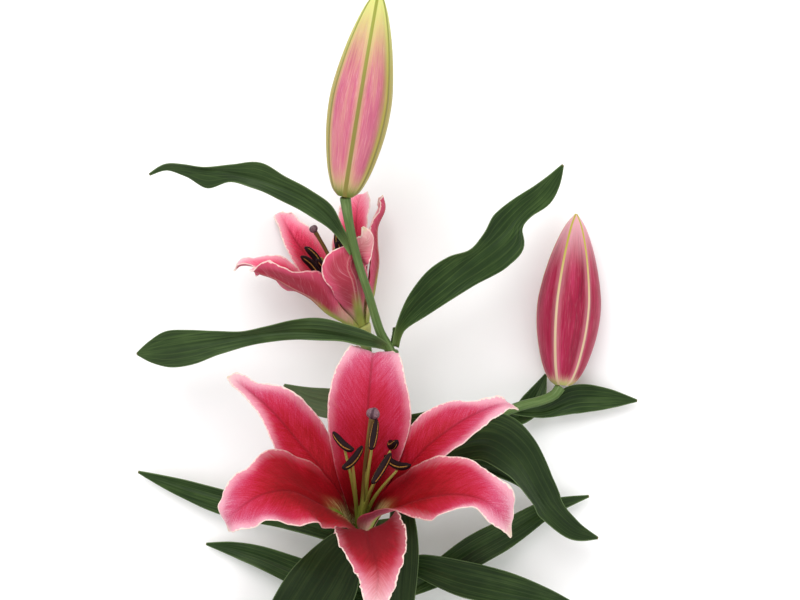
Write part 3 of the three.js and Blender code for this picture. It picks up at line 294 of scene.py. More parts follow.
# Colours of the tepals' inner faces, from the core to the edge
OPEN_STOPS = [
    (0.0, (130, 2, 10)), (0.2, (162, 12, 30)), (0.42, (180, 34, 66)), (0.68, (192, 78, 110)),
    (1.0, (216, 150, 168)),
]
HALF_STOPS = [
    (0.0, (150, 12, 34)), (0.22, (204, 46, 80)), (0.48, (228, 92, 124)), (0.75, (236, 138, 160)),
    (1.0, (240, 186, 194)),
]

UP = np.array([0.0, 0.0, 1.0])


# Curves and frames

def along_rows(rows, t):
    """Smooth curve through rows of numbers: t is 0 at the first row and 1 at the last."""
    rows = np.asarray(rows, float)
    t = np.atleast_1d(t)
    last = len(rows) - 1
    span = np.minimum(np.floor(t * last).astype(int), last - 1)
    f = (t * last - span)[:, None]
    a, b, c, d = (rows[np.clip(span + step, 0, last)] for step in (-1, 0, 1, 2))
    slope = (c - a) * f
    bend = (2 * a - 5 * b + 4 * c - d) * f**2
    twist = (3 * b - a - 3 * c + d) * f**3
    return 0.5 * (2 * b + slope + bend + twist)


def fine_rows(rows, count):
    """That many rows at even steps along the curve."""
    return along_rows(rows, np.linspace(0, 1, count))


def lengths_along(points):
    """The length of a line of points up to each of them."""
    return np.concatenate([[0], np.cumsum(np.linalg.norm(np.diff(points, axis=0), axis=1))])


def from_nearest(angle, sector):
    """How far an angle lies from the nearest whole multiple of the sector."""
    return np.abs((angle + sector / 2) % sector - sector / 2)


def smoothstep(x, low, high):
    t = np.clip((x - low) / (high - low), 0, 1)
    return t * t * (3 - 2 * t)


def unit(vectors):
    return vectors / np.maximum(np.linalg.norm(vectors, axis=-1, keepdims=True), 1e-9)


def dot(a, b):
    return (a * b).sum(-1, keepdims=True)


def bloom_frame(place):
    """The bloom's three directions, as rows, and its base."""
    ahead = unit(np.array(place["axis"], float))
    right = unit(np.cross(ahead, UP))
    back = np.cross(ahead, right)
    return np.stack([right, back, ahead]), np.array(place["base"], float)


def from_bloom(points, place):
    directions, base = bloom_frame(place)
    return points @ directions + base


# Meshes

def new_object(name, data):
    thing = bpy.data.objects.new(name, data)
    bpy.context.scene.collection.objects.link(thing)
    return thing


def store(mesh, name, values):
    """Stores a number, or three, at each point of a mesh."""
    values = np.asarray(values, np.float32)
    kind, field = ("FLOAT_VECTOR", "vector") if values.ndim == 2 else ("FLOAT", "value")
    layer = mesh.attributes.new(name, kind, "POINT")
    layer.data.foreach_set(field, values.ravel())


def mesh_object(name, points, faces, attributes=()):
    """A smooth object from points in millimetres. attributes are (name, value per point) pairs."""
    mesh = bpy.data.meshes.new(name)
    places = (points + HEAD_FROM_CENTRE) * MM
    mesh.from_pydata(places.tolist(), [], [tuple(face) for face in faces])
    mesh.polygons.foreach_set("use_smooth", [True] * len(mesh.polygons))
    for key, values in attributes:
        store(mesh, key, values)
    mesh.update()
    return new_object(name, mesh)


def dress(piece, node, material):
    """piece stands for that node of the frame, whose plain solid is hidden; it hangs from the root body and
    wears that material.
    """
    piece.data.materials.append(material)
    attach(piece, "root")
    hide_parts(node)


def sheet_faces(steps, columns):
    """Both faces and the rim of a sheet of (steps + 1) by (columns + 1) points."""
    count = (steps + 1) * (columns + 1)
    grid = np.arange(count).reshape(steps + 1, columns + 1)
    a, b, c, d = grid[:-1, :-1], grid[1:, :-1], grid[1:, 1:], grid[:-1, 1:]
    top = np.stack([a, d, c, b], -1).reshape(-1, 4)
    under = np.stack([a, b, c, d], -1).reshape(-1, 4) + count
    loop = np.concatenate([grid[:-1, 0], grid[-1, :-1], grid[:0:-1, -1], grid[0, :0:-1]])
    ahead = np.roll(loop, -1)
    rim = np.stack([loop, ahead, ahead + count, loop + count], -1)
    return np.concatenate([top, under, rim]).tolist()


def blade_piece(name, material, u, centres, faces, sides, shape, columns, tone):
    """A thin closed blade. sides are the half-width and the curl to the left and right. shape(u, v, w)
    gives its lift, its thickness and its relief, in mm, on a grid. v is -1 and 1 at the edges and w is
    the distance from the middle."""
    tangent = unit(np.gradient(centres, axis=0))
    lift = unit(faces - dot(faces, tangent) * tangent)
    side = np.cross(tangent, lift)
    v = np.linspace(-1, 1, columns + 1)
    v = 0.6 * v + 0.4 * np.sin(v * math.pi / 2)
    uu, vv = np.meshgrid(u, v, indexing="ij")
    left, right, left_curl, right_curl = (np.asarray(column, float)[:, None] for column in sides)
    half = np.where(vv < 0, left, right)
    bend = np.maximum(np.radians(np.where(vv < 0, left_curl, right_curl)), 0.01)
    width = vv * half
    rise, thickness, relief = shape(uu, vv, width)
    sideways = np.sin(bend * vv) / bend * half
    rise = (1 - np.cos(bend * vv)) / bend * half + rise
    middle = centres[:, None] + side[:, None] * sideways[..., None] + lift[:, None] * rise[..., None]
    normal = unit(np.cross(np.gradient(middle, axis=1), np.gradient(middle, axis=0)))
    top = middle + normal * (thickness / 2 + relief)[..., None]
    under = middle + normal * (relief - thickness / 2)[..., None]
    points = np.concatenate([top.reshape(-1, 3), under.reshape(-1, 3)])
    length = np.repeat(lengths_along(centres)[:, None], columns + 1, 1)
    place = [np.stack([uu, vv, np.full_like(uu, face)], -1).reshape(-1, 3) for face in (0, 1)]
    size = np.stack([length, width, (1 - np.abs(vv)) * half], -1).reshape(-1, 3)
    attributes = [
        ("place", np.concatenate(place)),
        ("size", np.concatenate([size, size])),
        ("tone", np.tile(tone, (len(points), 1))),
    ]
    piece = mesh_object(name + "_fine", points, sheet_faces(len(u) - 1, columns), attributes)
    dress(piece, name, material)


def tube_points(rows, sides, steps, swell=None, turn=0.0):
    """Rings round a curve of x, y, z and radius, with the share along and the angle of each point.
    swell(u, angle) changes the radius."""
    u = np.linspace(0, 1, steps + 1)
    data = along_rows(rows, u)
    centres, radii = data[:, :3], data[:, 3]
    tangent = unit(np.gradient(centres, axis=0))
    across = UP if abs(tangent[0, 2]) < 0.9 else np.array([0.0, 1.0, 0.0])
    angle = np.linspace(0, FULL_TURN, sides, endpoint=False)
    uu, aa = np.meshgrid(u, angle, indexing="ij")
    reach = radii[:, None] * (swell(uu, aa - turn) if swell else 1)
    rings = []
    for i in range(steps + 1):
        across = unit(across - dot(across, tangent[i]) * tangent[i])
        other = np.cross(tangent[i], across)
        ring = np.cos(angle)[:, None] * across + np.sin(angle)[:, None] * other
        rings.append(centres[i] + ring * reach[i][:, None])
    points = np.concatenate([*rings, centres[:1], centres[-1:]])
    return points, np.append(uu.ravel(), [0, 1]), np.append(aa.ravel() - turn, [0, 0])


def tube_faces(sides, steps):
    first = sides * (steps + 1)
    faces = []
    for j in range(sides):
        k = (j + 1) % sides
        faces.append((first, k, j))
        faces.append((first + 1, steps * sides + j, steps * sides + k))
        for i in range(steps):
            a, b = i * sides + j, i * sides + k
            faces.append((a, b, b + sides, a + sides))
    return faces


def keep_largest(mesh):
    """Deletes all of the mesh but its largest connected skin."""
    shape = bmesh.new()
    shape.from_mesh(mesh)
    left = set(shape.verts)
    islands = []
    while left:
        front = {left.pop()}
        island = set(front)
        while front:
            front = {edge.other_vert(vertex) for vertex in front for edge in vertex.link_edges} & left
            left -= front
            island |= front
        islands.append(island)
    islands.sort(key=len)
    specks = [vertex for island in islands[:-1] for vertex in island]
    bmesh.ops.delete(shape, geom=specks, context="VERTS")
    shape.to_mesh(mesh)
    shape.free()


def melted(name, tubes, voxel, smooth):
    """One skin round tubes of rows, sides and steps, with soft joins between them."""
    points, faces = [], []
    for rows, sides, steps in tubes:
        start = sum(len(part) for part in points)
        points.append(tube_points(rows, sides, steps)[0])
        faces += [tuple(i + start for i in face) for face in tube_faces(sides, steps)]
    rough = mesh_object(name + "_rough", np.concatenate(points), faces)
    remesh = rough.modifiers.new("Skin", "REMESH")
    remesh.mode = "VOXEL"
    remesh.voxel_size = voxel * MM
    remesh.use_smooth_shade = True
    soften = rough.modifiers.new("Soften", "SMOOTH")
    soften.factor = 0.5
    soften.iterations = smooth
    bpy.context.view_layer.update()
    mesh = bpy.data.meshes.new_from_object(rough.evaluated_get(bpy.context.evaluated_depsgraph_get()))
    bpy.data.objects.remove(rough)
    keep_largest(mesh)
    mesh.name = name
    return new_object(name, mesh)


def follow_lines(thing, lines):
    """Gives each point of the object its place on the nearest of the lines: the length along it,
    and the two distances across it, in millimetres, and the number of the line."""
    tree = KDTree(sum(len(line) for line in lines))
    rows = []
    for number, line in enumerate(lines):
        length = lengths_along(line[:, :3])
        tangent = unit(np.gradient(line[:, :3], axis=0))
        for i, point in enumerate(line):
            tree.insert((point[:3] + HEAD_FROM_CENTRE) * MM, len(rows))
            rows.append((*point[:3], *tangent[i], length[i], number))
    tree.balance()
    rows = np.array(rows)
    mesh = thing.data
    found = [tree.find(vertex.co)[1] for vertex in mesh.vertices]
    places = np.array([vertex.co for vertex in mesh.vertices]) / MM - HEAD_FROM_CENTRE
    near = rows[found]
    offset = places - near[:, :3]
    side = unit(np.cross(near[:, 3:6], UP + [0.001, 0, 0]))
    other = np.cross(side, near[:, 3:6])
    length = near[:, 6] + dot(offset, near[:, 3:6])[:, 0]
    flow = np.stack([length, dot(offset, side)[:, 0], dot(offset, other)[:, 0]], -1)
    store(mesh, "flow", flow)
    store(mesh, "line", near[:, 7])


# Materials

def colour(red, green, blue):
    """A screen colour, 0 to 255, as the shaders want it."""
    def linear(value):
        value /= 255
        return value / 12.92 if value <= 0.04045 else ((value + 0.055) / 1.055) ** 2.4
    return (linear(red), linear(green), linear(blue), 1)


class Value:
    """A number, a vector or a colour on its way through a material's nodes."""

    def __init__(self, look, socket):
        self.look = look
        self.socket = socket

    def math(self, operation, other=0.0):
        return self.look.add("ShaderNodeMath", {0: self, 1: other}, operation=operation)

    def __add__(self, other):
        return self.math("ADD", other)

    def __sub__(self, other):
        return self.math("SUBTRACT", other)

    def __mul__(self, other):
        return self.math("MULTIPLY", other)

    def parts(self):
        """The three numbers of a vector."""
        outputs = self.look.add("ShaderNodeSeparateXYZ", {0: self}).socket.node.outputs
        return [Value(self.look, output) for output in outputs]

    def step(self, low, high):
        """0 at low, 1 at high, smooth between. low may be the greater."""
        inputs = {0: self, 1: low, 2: high, 3: 0.0, 4: 1.0}
        return self.look.add("ShaderNodeMapRange", inputs, interpolation_type="SMOOTHSTEP")

    def mix(self, other, share):
        """This colour, turned to the other one by that share. Three numbers are a screen colour."""
        if isinstance(other, tuple):
            other = colour(*other)
        return self.look.add("ShaderNodeMix", {0: share, 6: self, 7: other}, 2, data_type="RGBA")

    def ramp(self, *stops):
        """The colour at this number between stops, each a position and a screen colour."""
        ramp = self.look.add("ShaderNodeValToRGB", {0: self})
        points = ramp.socket.node.color_ramp.elements
        while len(points) < len(stops):
            points.new(0.5)
        for point, (position, stop) in zip(points, stops):
            point.position = position
            point.color = colour(*stop)
        return ramp


class Look:
    """One material, painted by the numbers that the mesh stores at its points."""

    def __init__(self, name, roughness, **constants):
        self.material = bpy.data.materials.new(name)
        self.material.use_nodes = True
        self.tree = self.material.node_tree
        self.shader = self.tree.nodes["Principled BSDF"]
        self.shader.inputs["Roughness"].default_value = roughness
        for key, value in constants.items():
            self.shader.inputs[key.replace("_", " ")].default_value = value

    def put(self, socket, value):
        if isinstance(value, Value):
            self.tree.links.new(value.socket, socket)
        else:
            socket.default_value = value

    def add(self, kind, inputs=(), output=0, **settings):
        """The chosen output of a new node with those inputs and settings."""
        node = self.tree.nodes.new(kind)
        for key, value in settings.items():
            setattr(node, key, value)
        for key, value in dict(inputs).items():
            self.put(node.inputs[key], value)
        return Value(self, node.outputs[output])

    def read(self, name):
        """The three numbers that the mesh stores under that name."""
        return self.add("ShaderNodeAttribute", output="Vector", attribute_name=name).parts()

    def read_one(self, name):
        return self.add("ShaderNodeAttribute", output="Fac", attribute_name=name)

    def noise(self, x, y, z, detail=3.0, rough=0.5):
        place = self.add("ShaderNodeCombineXYZ", {0: x, 1: y, 2: z})
        inputs = {"Vector": place, "Scale": 1.0, "Detail": detail, "Roughness": rough}
        return self.add("ShaderNodeTexNoise", inputs)

    def bump(self, height, distance, strength):
        inputs = {"Height": height, "Distance": distance * MM, "Strength": strength}
        self.put(self.shader.inputs["Normal"], self.add("ShaderNodeBump", inputs))

    def finish(self, base, roughness=None):
        self.put(self.shader.inputs["Base Color"], base)
        if roughness is not None:
            self.put(self.shader.inputs["Roughness"], roughness)
        return self.material


def tepal_material(name, stops, outside, rib, rib_width):
    """stops colour the inner face from the core to the edge, outside is the back's body colour, rib the
    colour of its midrib."""
    look = Look(name, 0.5, Sheen_Weight=0.03, Sheen_Roughness=0.4, Subsurface_Weight=0.06,
                Subsurface_Scale=0.0015, Subsurface_Radius=(1.0, 0.35, 0.3), Specular_IOR_Level=0.14)
    u, v, under = look.read("place")
    length, width, edge = look.read("size")
    pale_from, painted_light, seed = look.read("tone")
    away = width.math("ABSOLUTE")
    half = width.math("SIGN")

    # Streaks and broader strands fan out from the midrib and fray the borders of every colour
    fan = length - away * 1.4
    run = away + length * 0.5
    plant = seed + half
    streak = look.noise(fan * 1.3, run * 0.09, plant, 3.0, 0.6)
    strand = look.noise(fan * 0.5, run * 0.04, plant, 2.0, 0.6)
    vein = look.noise(width * 1.1, length * 0.025, seed)
    cloud = look.noise(length * 0.06, width * 0.09, seed, 2.0)
    grain = look.noise(length * 1.4, width * 1.4, seed, 2.0)
    fray = look.noise(length * 0.45, half, seed, 3.0, 0.6)
    swing = streak - 0.5 + (strand - 0.5) * 0.5
    tip_place = u + swing * 0.12
    throat = u + swing * 0.14
    tip = tip_place.step(pale_from, 1.0) * 0.85
    cap = tip_place.step(0.93, 1.0) * 0.75
    rim = (edge - (fray - 0.3) * 3.4).step(0.25, -0.2) * u.step(0.3, 0.7)

    # Inner face: a dark core, paler towards the edges and the tip, with painted shade at the base in the
    # throat and along the midrib groove
    rise = v.math("ABSOLUTE").math("POWER", 2.0) * u.step(0.1, 0.75)
    # The painted light lifts the upper tepals towards the paler stops. Below 0 it is painted shade.
    shade = rise * 0.46 + u.step(0.46, 1.0) * 0.82 + painted_light * u.step(0.25, 0.5) + swing * 0.56
    shade = shade + (grain - 0.5) * 0.4 + (cloud - 0.5) * 0.3 + (vein - 0.5) * 0.14
    # Painted shade: a tepal whose painted light is below 0, the bottom one, darkens towards its base.
    shaded = painted_light.step(0.0, -0.18) * u.step(0.84, 0.42)
    faded = (edge + swing * 9.0).step(6.5, 0.0) * u.step(0.3, 0.7) * 0.62 * painted_light.step(-0.4, 0.1)
    # Painted shade: the midrib groove's hollow is darkened.
    groove_shade = away.step(1.5, 0.1) * u.step(0.95, 0.6)
    # Towards the base the core darkens further: partly the tepal's own deep crimson, partly painted shade in
    # the throat.
    inner = shade.ramp(*stops).mix((96, 2, 8), u.step(0.42, 0.14) * 0.6).mix((92, 4, 20), shaded * 0.8)
    inner = inner.mix((232, 172, 184), faded).mix((234, 200, 202), tip).mix((206, 196, 156), cap)
    inner = inner.mix((240, 218, 204), rim * 0.85).mix((112, 4, 16), groove_shade * 0.5)

    # Throat: pale hairs beside a green furrow
    hairs = swing.step(-0.08, 0.12).ramp((0.0, (146, 136, 48)), (1.0, (220, 210, 144)))
    hair_place = throat + painted_light.math("MAXIMUM", 0.0) * 0.6
    beside = away.step(11.0, 2.5) * hair_place.step(0.4, 0.24)
    furrow = away.step(2.4, 1.2) * u.step(0.36, 0.28) * painted_light.step(0.07, 0.01)
    inner = inner.mix(hairs, beside * swing.step(-0.14, 0.1)).mix(hairs, throat.step(0.14, 0.06))
    inner = inner.mix((104, 138, 34), furrow)

    # Back: two ridges beside the midrib, pale and then green towards the base
    ridge = (away - rib_width / 2).math("ABSOLUTE").step(rib_width * 0.3, 0.1) * u.step(1.0, 0.2)
    keel = away.step(4.0, 1.0) * throat.step(0.42, 0.2)
    back = edge.step(7.0, 1.0).ramp((0.0, outside), (1.0, (196, 76, 104)))
    back = back.mix((226, 150, 162), swing.step(0.0, 0.25) * 0.3).mix(rib, ridge * 0.5)
    back = back.mix((234, 196, 190), tip).mix((196, 192, 140), cap)
    back = back.mix((214, 186, 158), throat.step(0.28, 0.14) * 0.75).mix((150, 160, 74), keel)
    back = back.mix((156, 166, 80), throat.step(0.17, 0.05)).mix((240, 214, 204), rim * 0.8)
    look.bump(swing + vein * 1.2, 0.25, 0.6)
    return look.finish(inner.mix(back, under), streak * 0.2 + 0.42)


def leaf_material():
    look = Look("leaf_green", 0.42, Specular_IOR_Level=0.14)
    u, v, under = look.read("place")
    length, width, edge = look.read("size")
    painted_sheen_and_shade, _, seed = look.read("tone")
    line = look.noise(width * 1.6, length * 0.012, seed, 4.0, 0.6)
    cloud = look.noise(length * 0.04, width * 0.08, seed)
    ribs = (v * (math.pi * LEAF_VEINS)).math("COSINE").step(0.72, 1.0)
    shade = line * 0.55 + cloud * 0.45
    top = shade.ramp((0.3, (18, 35, 11)), (0.5, (34, 55, 20)), (0.7, (62, 84, 40)))
    top = top.mix((100, 120, 66), ribs * 0.13)
    # Painted light: the upper leaves are lightened towards a pale grey-green sheen and the lower ones
    # darkened as painted shade.
    top = top.mix((136, 150, 112), painted_sheen_and_shade.step(0.0, 1.0)).mix((18, 28, 10), painted_sheen_and_shade.step(0.0, -1.0))
    back = shade.ramp((0.3, (84, 102, 72)), (0.7, (118, 136, 102))).mix((140, 156, 118), ribs * 0.4)
    base = top.mix(back, under).mix((110, 134, 84), edge.step(0.7, 0.1) * 0.5)
    base = base.mix((118, 142, 78), u.step(0.12, 0.0) * 0.6).mix((120, 108, 70), u.step(0.985, 1.0))
    look.bump(line + cloud * 0.6, 0.3, 0.5)
    return look.finish(base, line * 0.2 + 0.34)


def stem_material():
    """Line 0 is the main stem, cut at its foot. Line 4 is a stalk that turns pale under its bloom."""
    look = Look("stem_green", 0.45, Specular_IOR_Level=0.2, Subsurface_Weight=0.06, Subsurface_Scale=0.002)
    length, across, other = look.read("flow")
    line = look.read_one("line")
    main_stem = line.step(0.8, 0.2)
    streak = look.noise(across * 1.1, other * 1.1, length * 0.02, 4.0, 0.6)
    mottle = look.noise(across * 0.25, other * 0.25, length * 0.05)
    fleck = look.noise(across * 1.2, other * 1.2, length * 0.45, 2.0)
    shade = streak * 0.6 + mottle * 0.4
    main = shade.ramp((0.3, (52, 76, 34)), (0.5, (74, 100, 48)), (0.7, (104, 128, 74)))
    stalk = shade.ramp((0.3, (62, 86, 36)), (0.5, (84, 108, 56)), (0.7, (116, 136, 86)))
    under_bloom = line.step(3.4, 3.8) * length.step(73.0, 81.0)
    base = main.mix(stalk, line.step(0.2, 0.8)).mix((176, 178, 104), under_bloom)
    base = base.mix((92, 60, 56), fleck.step(0.6, 0.72) * main_stem * 0.55)
    reach = (across * across + other * other).math("SQRT")
    wood = reach * 0.19 + streak * 0.12
    wood = wood.ramp((0.1, (214, 220, 180)), (0.62, (186, 202, 140)), (0.95, (126, 150, 78)))
    base = base.mix(wood, length.step(2.6, 1.2) * main_stem * reach.step(5.1, 4.6))
    look.bump(streak + mottle * 0.5, 0.3, 0.6)
    return look.finish(base, streak * 0.22 + 0.36)


def bud_material(name, body, tip, tip_from, low, low_to, base, rib_top, rib_low, rib_width, beside_rib,
                 flank, flank_share, streaky):
    """body holds the ramp's stops between the ribs. It turns to the colour tip from tip_from on, and
    below low_to to low and then base. Away from the front rib it turns to flank by flank_share."""
    look = Look(name, 0.4, Specular_IOR_Level=0.2, Subsurface_Weight=0.08, Subsurface_Scale=0.002)
    u, _, across = look.read("place")
    cosine, sine, length = look.read("round")
    streak = look.noise(cosine * 22.0, sine * 22.0, length * 0.045, 4.0, 0.65)
    dash = look.noise(cosine * 44.0, sine * 44.0, length * 0.14, 2.0, 0.6)
    cloud = look.noise(cosine * 2.0, sine * 2.0, length * 0.03)
    swing = streak - 0.5
    front = cosine + swing * 0.3 - sine * 0.12
    ends = u + swing * 0.16
    skin = (streak * 0.5 + cloud * 0.5).ramp(*body)
    skin = skin.mix((232, 176, 184), dash.step(0.5, 0.72) * streaky)
    skin = skin.mix(tip, (across + swing * 1.2).step(4.2, 0.8) * beside_rib)
    skin = skin.mix(flank, front.step(0.78, 0.42) * flank_share).mix(tip, ends.step(tip_from, 0.97))
    skin = skin.mix(low, ends.step(low_to, low_to * 0.4) * 0.7).mix(base, ends.step(low_to * 0.75, 0.04))
    rib = u.step(0.45, 0.8).ramp((0.0, rib_low), (1.0, rib_top)).mix((120, 140, 50), streak * 0.3)
    width = u * (-0.4 * rib_width) + rib_width
    look.bump(streak + dash * 0.5, 0.2, 0.5)
    return look.finish(skin.mix(rib, (across - width).step(0.35, -0.15)), streak * 0.2 + 0.34)


def organ_material():
    """Line 0 is the style, the others are filaments."""
    look = Look("filament_green", 0.42, Specular_IOR_Level=0.25)
    length, across, other = look.read("flow")
    line = look.read_one("line")
    streak = look.noise(across * 1.6, other * 1.6, length * 0.05)
    low = streak.ramp((0.3, (96, 112, 30)), (0.7, (140, 154, 56)))
    high = streak.ramp((0.3, (140, 134, 56)), (0.7, (184, 178, 96)))
    style = streak.ramp((0.3, (86, 58, 30)), (0.7, (120, 98, 46)))
    base = low.mix(high, length.step(8.0, 70.0)).mix(style, line.step(0.8, 0.2) * length.step(30.0, 55.0))
    look.bump(streak, 0.15, 0.5)
    return look.finish(base)


def anther_material():
    look = Look("anther_brown", 0.55, Specular_IOR_Level=0.12)
    u, _, slit = look.read("place")
    cosine, sine, length = look.read("round")
    grain = look.noise(cosine * 9.0, sine * 9.0, length * 2.2, 3.0, 0.7)
    dark = grain.ramp((0.3, (12, 4, 7)), (0.7, (38, 16, 20)))
    pollen = grain.ramp((0.3, (150, 100, 36)), (0.7, (210, 158, 78)))
    opened = slit.step(0.24, 0.08) * grain.step(0.35, 0.55) * (u.step(0.08, 0.2) * u.step(0.93, 0.8))
    look.bump(grain, 0.25, 0.7)
    return look.finish(dark.mix(pollen, opened), grain * 0.3 + 0.45)


def stigma_material():
    look = Look("stigma_mauve", 0.5, Specular_IOR_Level=0.3)
    _, _, slit = look.read("place")
    cosine, sine, length = look.read("round")
    grain = look.noise(cosine * 7.0, sine * 7.0, length * 2.0, 4.0, 0.7)
    base = grain.ramp((0.3, (66, 42, 50)), (0.5, (112, 80, 88)), (0.72, (166, 134, 142)))
    look.bump(grain, 0.5, 0.8)
    # The notches between the lobes are darkened as painted shade.
    return look.finish(base.mix((70, 40, 52), slit.step(0.5, 0.1)))


def floor_material():
    look = Look("pale_floor", 0.8)
    place = look.add("ShaderNodeTexCoord", output="Object")
    grain = look.add("ShaderNodeTexNoise", {"Vector": place, "Scale": 40.0, "Detail": 2.0, "Roughness": 0.5})
    shades = {0: grain, 6: FLOOR_DARK, 7: FLOOR_LIGHT}
    return look.finish(look.add("ShaderNodeMix", shades, 2, data_type="RGBA"))


# Pieces

STEM_LINES = [STEM, TOP_BUD_STALK, RIGHT_BUD_STALK, OPEN_BLOOM_STALK, HALF_OPEN_STALK]


def receptacle_rows(place):
    heights = np.array([[0, 0, height] for height, _ in RECEPTACLE], float)
    radii = np.array([[radius] for _, radius in RECEPTACLE])
    return np.hstack([from_bloom(heights, place), radii])


def make_stem(material):
    cups = [receptacle_rows(OPEN_BLOOM), receptacle_rows(HALF_OPEN_BLOOM)]
    tubes = [(STEM, *STEM_GRID)]
    tubes += [(rows, STALK_SIDES, STALK_STEPS * len(rows)) for rows in STEM_LINES[1:]]
    tubes += [(rows, *CUP_GRID) for rows in cups]
    stem = melted("lily_stem", tubes, STEM_VOXEL, STEM_SMOOTHING)
    follow_lines(stem, [fine_rows(rows, STEM_POINTS) for rows in STEM_LINES])
    dress(stem, "stem", material)


def leaf_start(centres):
    """The first station of a leaf that lies outside the middle of the stem or stalk it grows from."""
    lines = np.concatenate([fine_rows(rows, LINE_POINTS) for rows in STEM_LINES])
    gaps = np.linalg.norm(lines[:, :3] - centres[:, None], axis=2) - lines[:, 3]
    return np.argmax(gaps.min(axis=1) > -LEAF_SUNK)


def make_leaf(name, leaf, material, seed):
    cup, wave, painted_sheen_and_shade, rows = leaf
    rows = [(*row, *(row[3], 0, 0)[len(row) - 4:]) for row in rows]
    stations = 400
    first = leaf_start(fine_rows(rows, stations)[:, :3]) / (stations - 1)
    steps, columns = LEAF_GRID
    u = np.linspace(first, 1, steps + 1)
    data = along_rows(rows, u)
    faces = unit(np.column_stack([data[:, 5], data[:, 6], np.ones(len(u))]))
    random = np.random.default_rng(seed)
    phase = random.uniform(0, FULL_TURN, 2)
    narrower = (data[:, 3] - data[:, 4])[:, None]

    def shape(uu, vv, width):
        swing = np.sin(FULL_TURN * (LEAF_WAVES * uu + 0.2 * np.sign(vv)))
        ripple = np.sin(FULL_TURN * LEAF_RIPPLES * uu + np.where(vv < 0, *phase))
        lift = np.sin(math.pi * uu) * vv**2 * (wave * swing + 0.35 * np.abs(vv) ** 3 * ripple)
        lift = lift + TURN_UP * vv**2 * narrower * np.sign(vv)
        lift = lift - 0.9 * np.exp(-(width / 1.3) ** 2) * smoothstep(uu, 1.0, 0.6)
        thickness = LEAF_THICKNESS - 0.45 * np.abs(vv) ** 4
        veins = 0.1 * np.cos(math.pi * LEAF_VEINS * vv) * (1 - vv**6) * smoothstep(uu, 1.0, 0.85)
        return lift, thickness, veins

    cups = np.full(len(u), float(cup))
    sides = [np.maximum(data[:, 3], NARROWEST), np.maximum(data[:, 4], NARROWEST), cups, cups]
    blade_piece(name, material, u, data[:, :3], faces, sides, shape, columns, (painted_sheen_and_shade, 0, seed))


def make_tepal(prefix, side, tepal, place, material, seed):
    angle, roll, waves, (pale_from, painted_light, ruffle), rows = tepal
    left_height, right_height, count, left_start, right_start = waves
    turn = math.radians(angle)
    outwards = np.array([math.cos(turn), math.sin(turn), 0])
    sideways = np.array([-math.sin(turn), math.cos(turn), 0])
    steps, columns = TEPAL_GRID
    u = np.linspace(0, 1, steps + 1)
    rows = [row if len(row) == 7 else (*row[:4], row[3], row[4], row[4]) for row in rows]
    distance, sway, height, left, right, left_curl, right_curl = along_rows(rows, u).T
    centres = np.outer(distance, outwards) + np.outer(sway, sideways) + np.outer(height, UP)
    run, climb = np.gradient(distance), np.gradient(height)
    faces = unit(np.outer(-climb, outwards) + np.outer(run, UP))
    faces = faces + np.outer(math.tan(math.radians(roll)) * smoothstep(u, 0.3, 0.7), sideways)
    directions, base = bloom_frame(place)
    random = np.random.default_rng(seed)
    phase = random.uniform(0, FULL_TURN, 4)

    def shape(uu, vv, width):
        rise = smoothstep(uu, 0.3, 0.45) * (1 - smoothstep(uu, 0.85, 1))
        swing = np.sin(FULL_TURN * (count * uu + np.where(vv < 0, left_start, right_start)))
        wave = np.where(vv < 0, left_height, right_height) * rise * vv**2 * swing
        fine, finer = (np.sin(FULL_TURN * frills * uu + np.where(vv < 0, *starts))
                       for frills, starts in zip(TEPAL_FRILLS, (phase[:2], phase[2:])))
        frill = ruffle * np.abs(vv) ** 5 * (0.55 * fine + 0.3 * finer) * smoothstep(uu, 0.25, 0.45)
        frill = frill * (1 - smoothstep(uu, 0.93, 1))
        channel = np.exp(-(width / 2.2) ** 2) * smoothstep(uu, 0.05, 0.25) * smoothstep(uu, 1.0, 0.7)
        thickness = TEPAL_THICKNESS - 0.6 * np.abs(vv) ** 3
        veins = 0.07 * np.cos(math.pi * TEPAL_VEINS * vv) * (1 - vv**4) * smoothstep(uu, 1.0, 0.9)
        return wave + frill - TEPAL_GROOVE * channel, thickness, veins

    notches = random.normal(0, 1, (2, len(u))) * smoothstep(u, 0.3, 0.5) * smoothstep(u, 1.0, 0.93)
    notches = np.maximum(EDGE_NOTCH * ruffle * notches, -2)
    left, right = (np.maximum(half + notch, NARROWEST) for half, notch in zip((left, right), notches))
    sides = [left, right, left_curl, right_curl]
    blade_piece(f"{prefix}_tepal_{side}", material, u, centres @ directions + base,
                faces @ directions, sides, shape, columns, (pale_from, painted_light, seed))


def filament_rows(stamen, index):
    """A filament rises from beside the ovary, close to the style at first, and spreads above its knee."""
    x, y, height = stamen[0]
    turn = math.atan2(y, x) / 2 + math.pi * (2 * index + 1) / 12
    root = np.array([2 * math.cos(turn), 2 * math.sin(turn)])
    end = np.array([x, y])
    knots = [(0, 6, 1.2), (0.14, 0.3 * height, 1.1), (0.45, 0.65 * height, 1), (1, height, 0.7)]
    return np.array([
        (*(root + (end - root) * spread), rise, thick * FILAMENT_RADIUS) for spread, rise, thick in knots])


def round_piece(name, material, rows, grid, swell, slit, length, turn=0.0, place=None):
    """A tube that stays above z = 0, with its rows in the bloom's frame if place is given.
    slit(u, angle) is how far a point lies from the slit or rib that the material marks."""
    sides, steps = grid
    points, u, angle = tube_points(rows, sides, steps, swell, turn)
    if place:
        points = from_bloom(points, place)
    points[:, 2] = np.maximum(points[:, 2], 0)
    around = np.stack([np.cos(angle), np.sin(angle), u * length], -1)
    attributes = [("place", np.stack([u, angle, slit(u, angle)], -1)), ("round", around)]
    piece = mesh_object(name + "_fine", points, tube_faces(sides, steps), attributes)
    dress(piece, name, material)


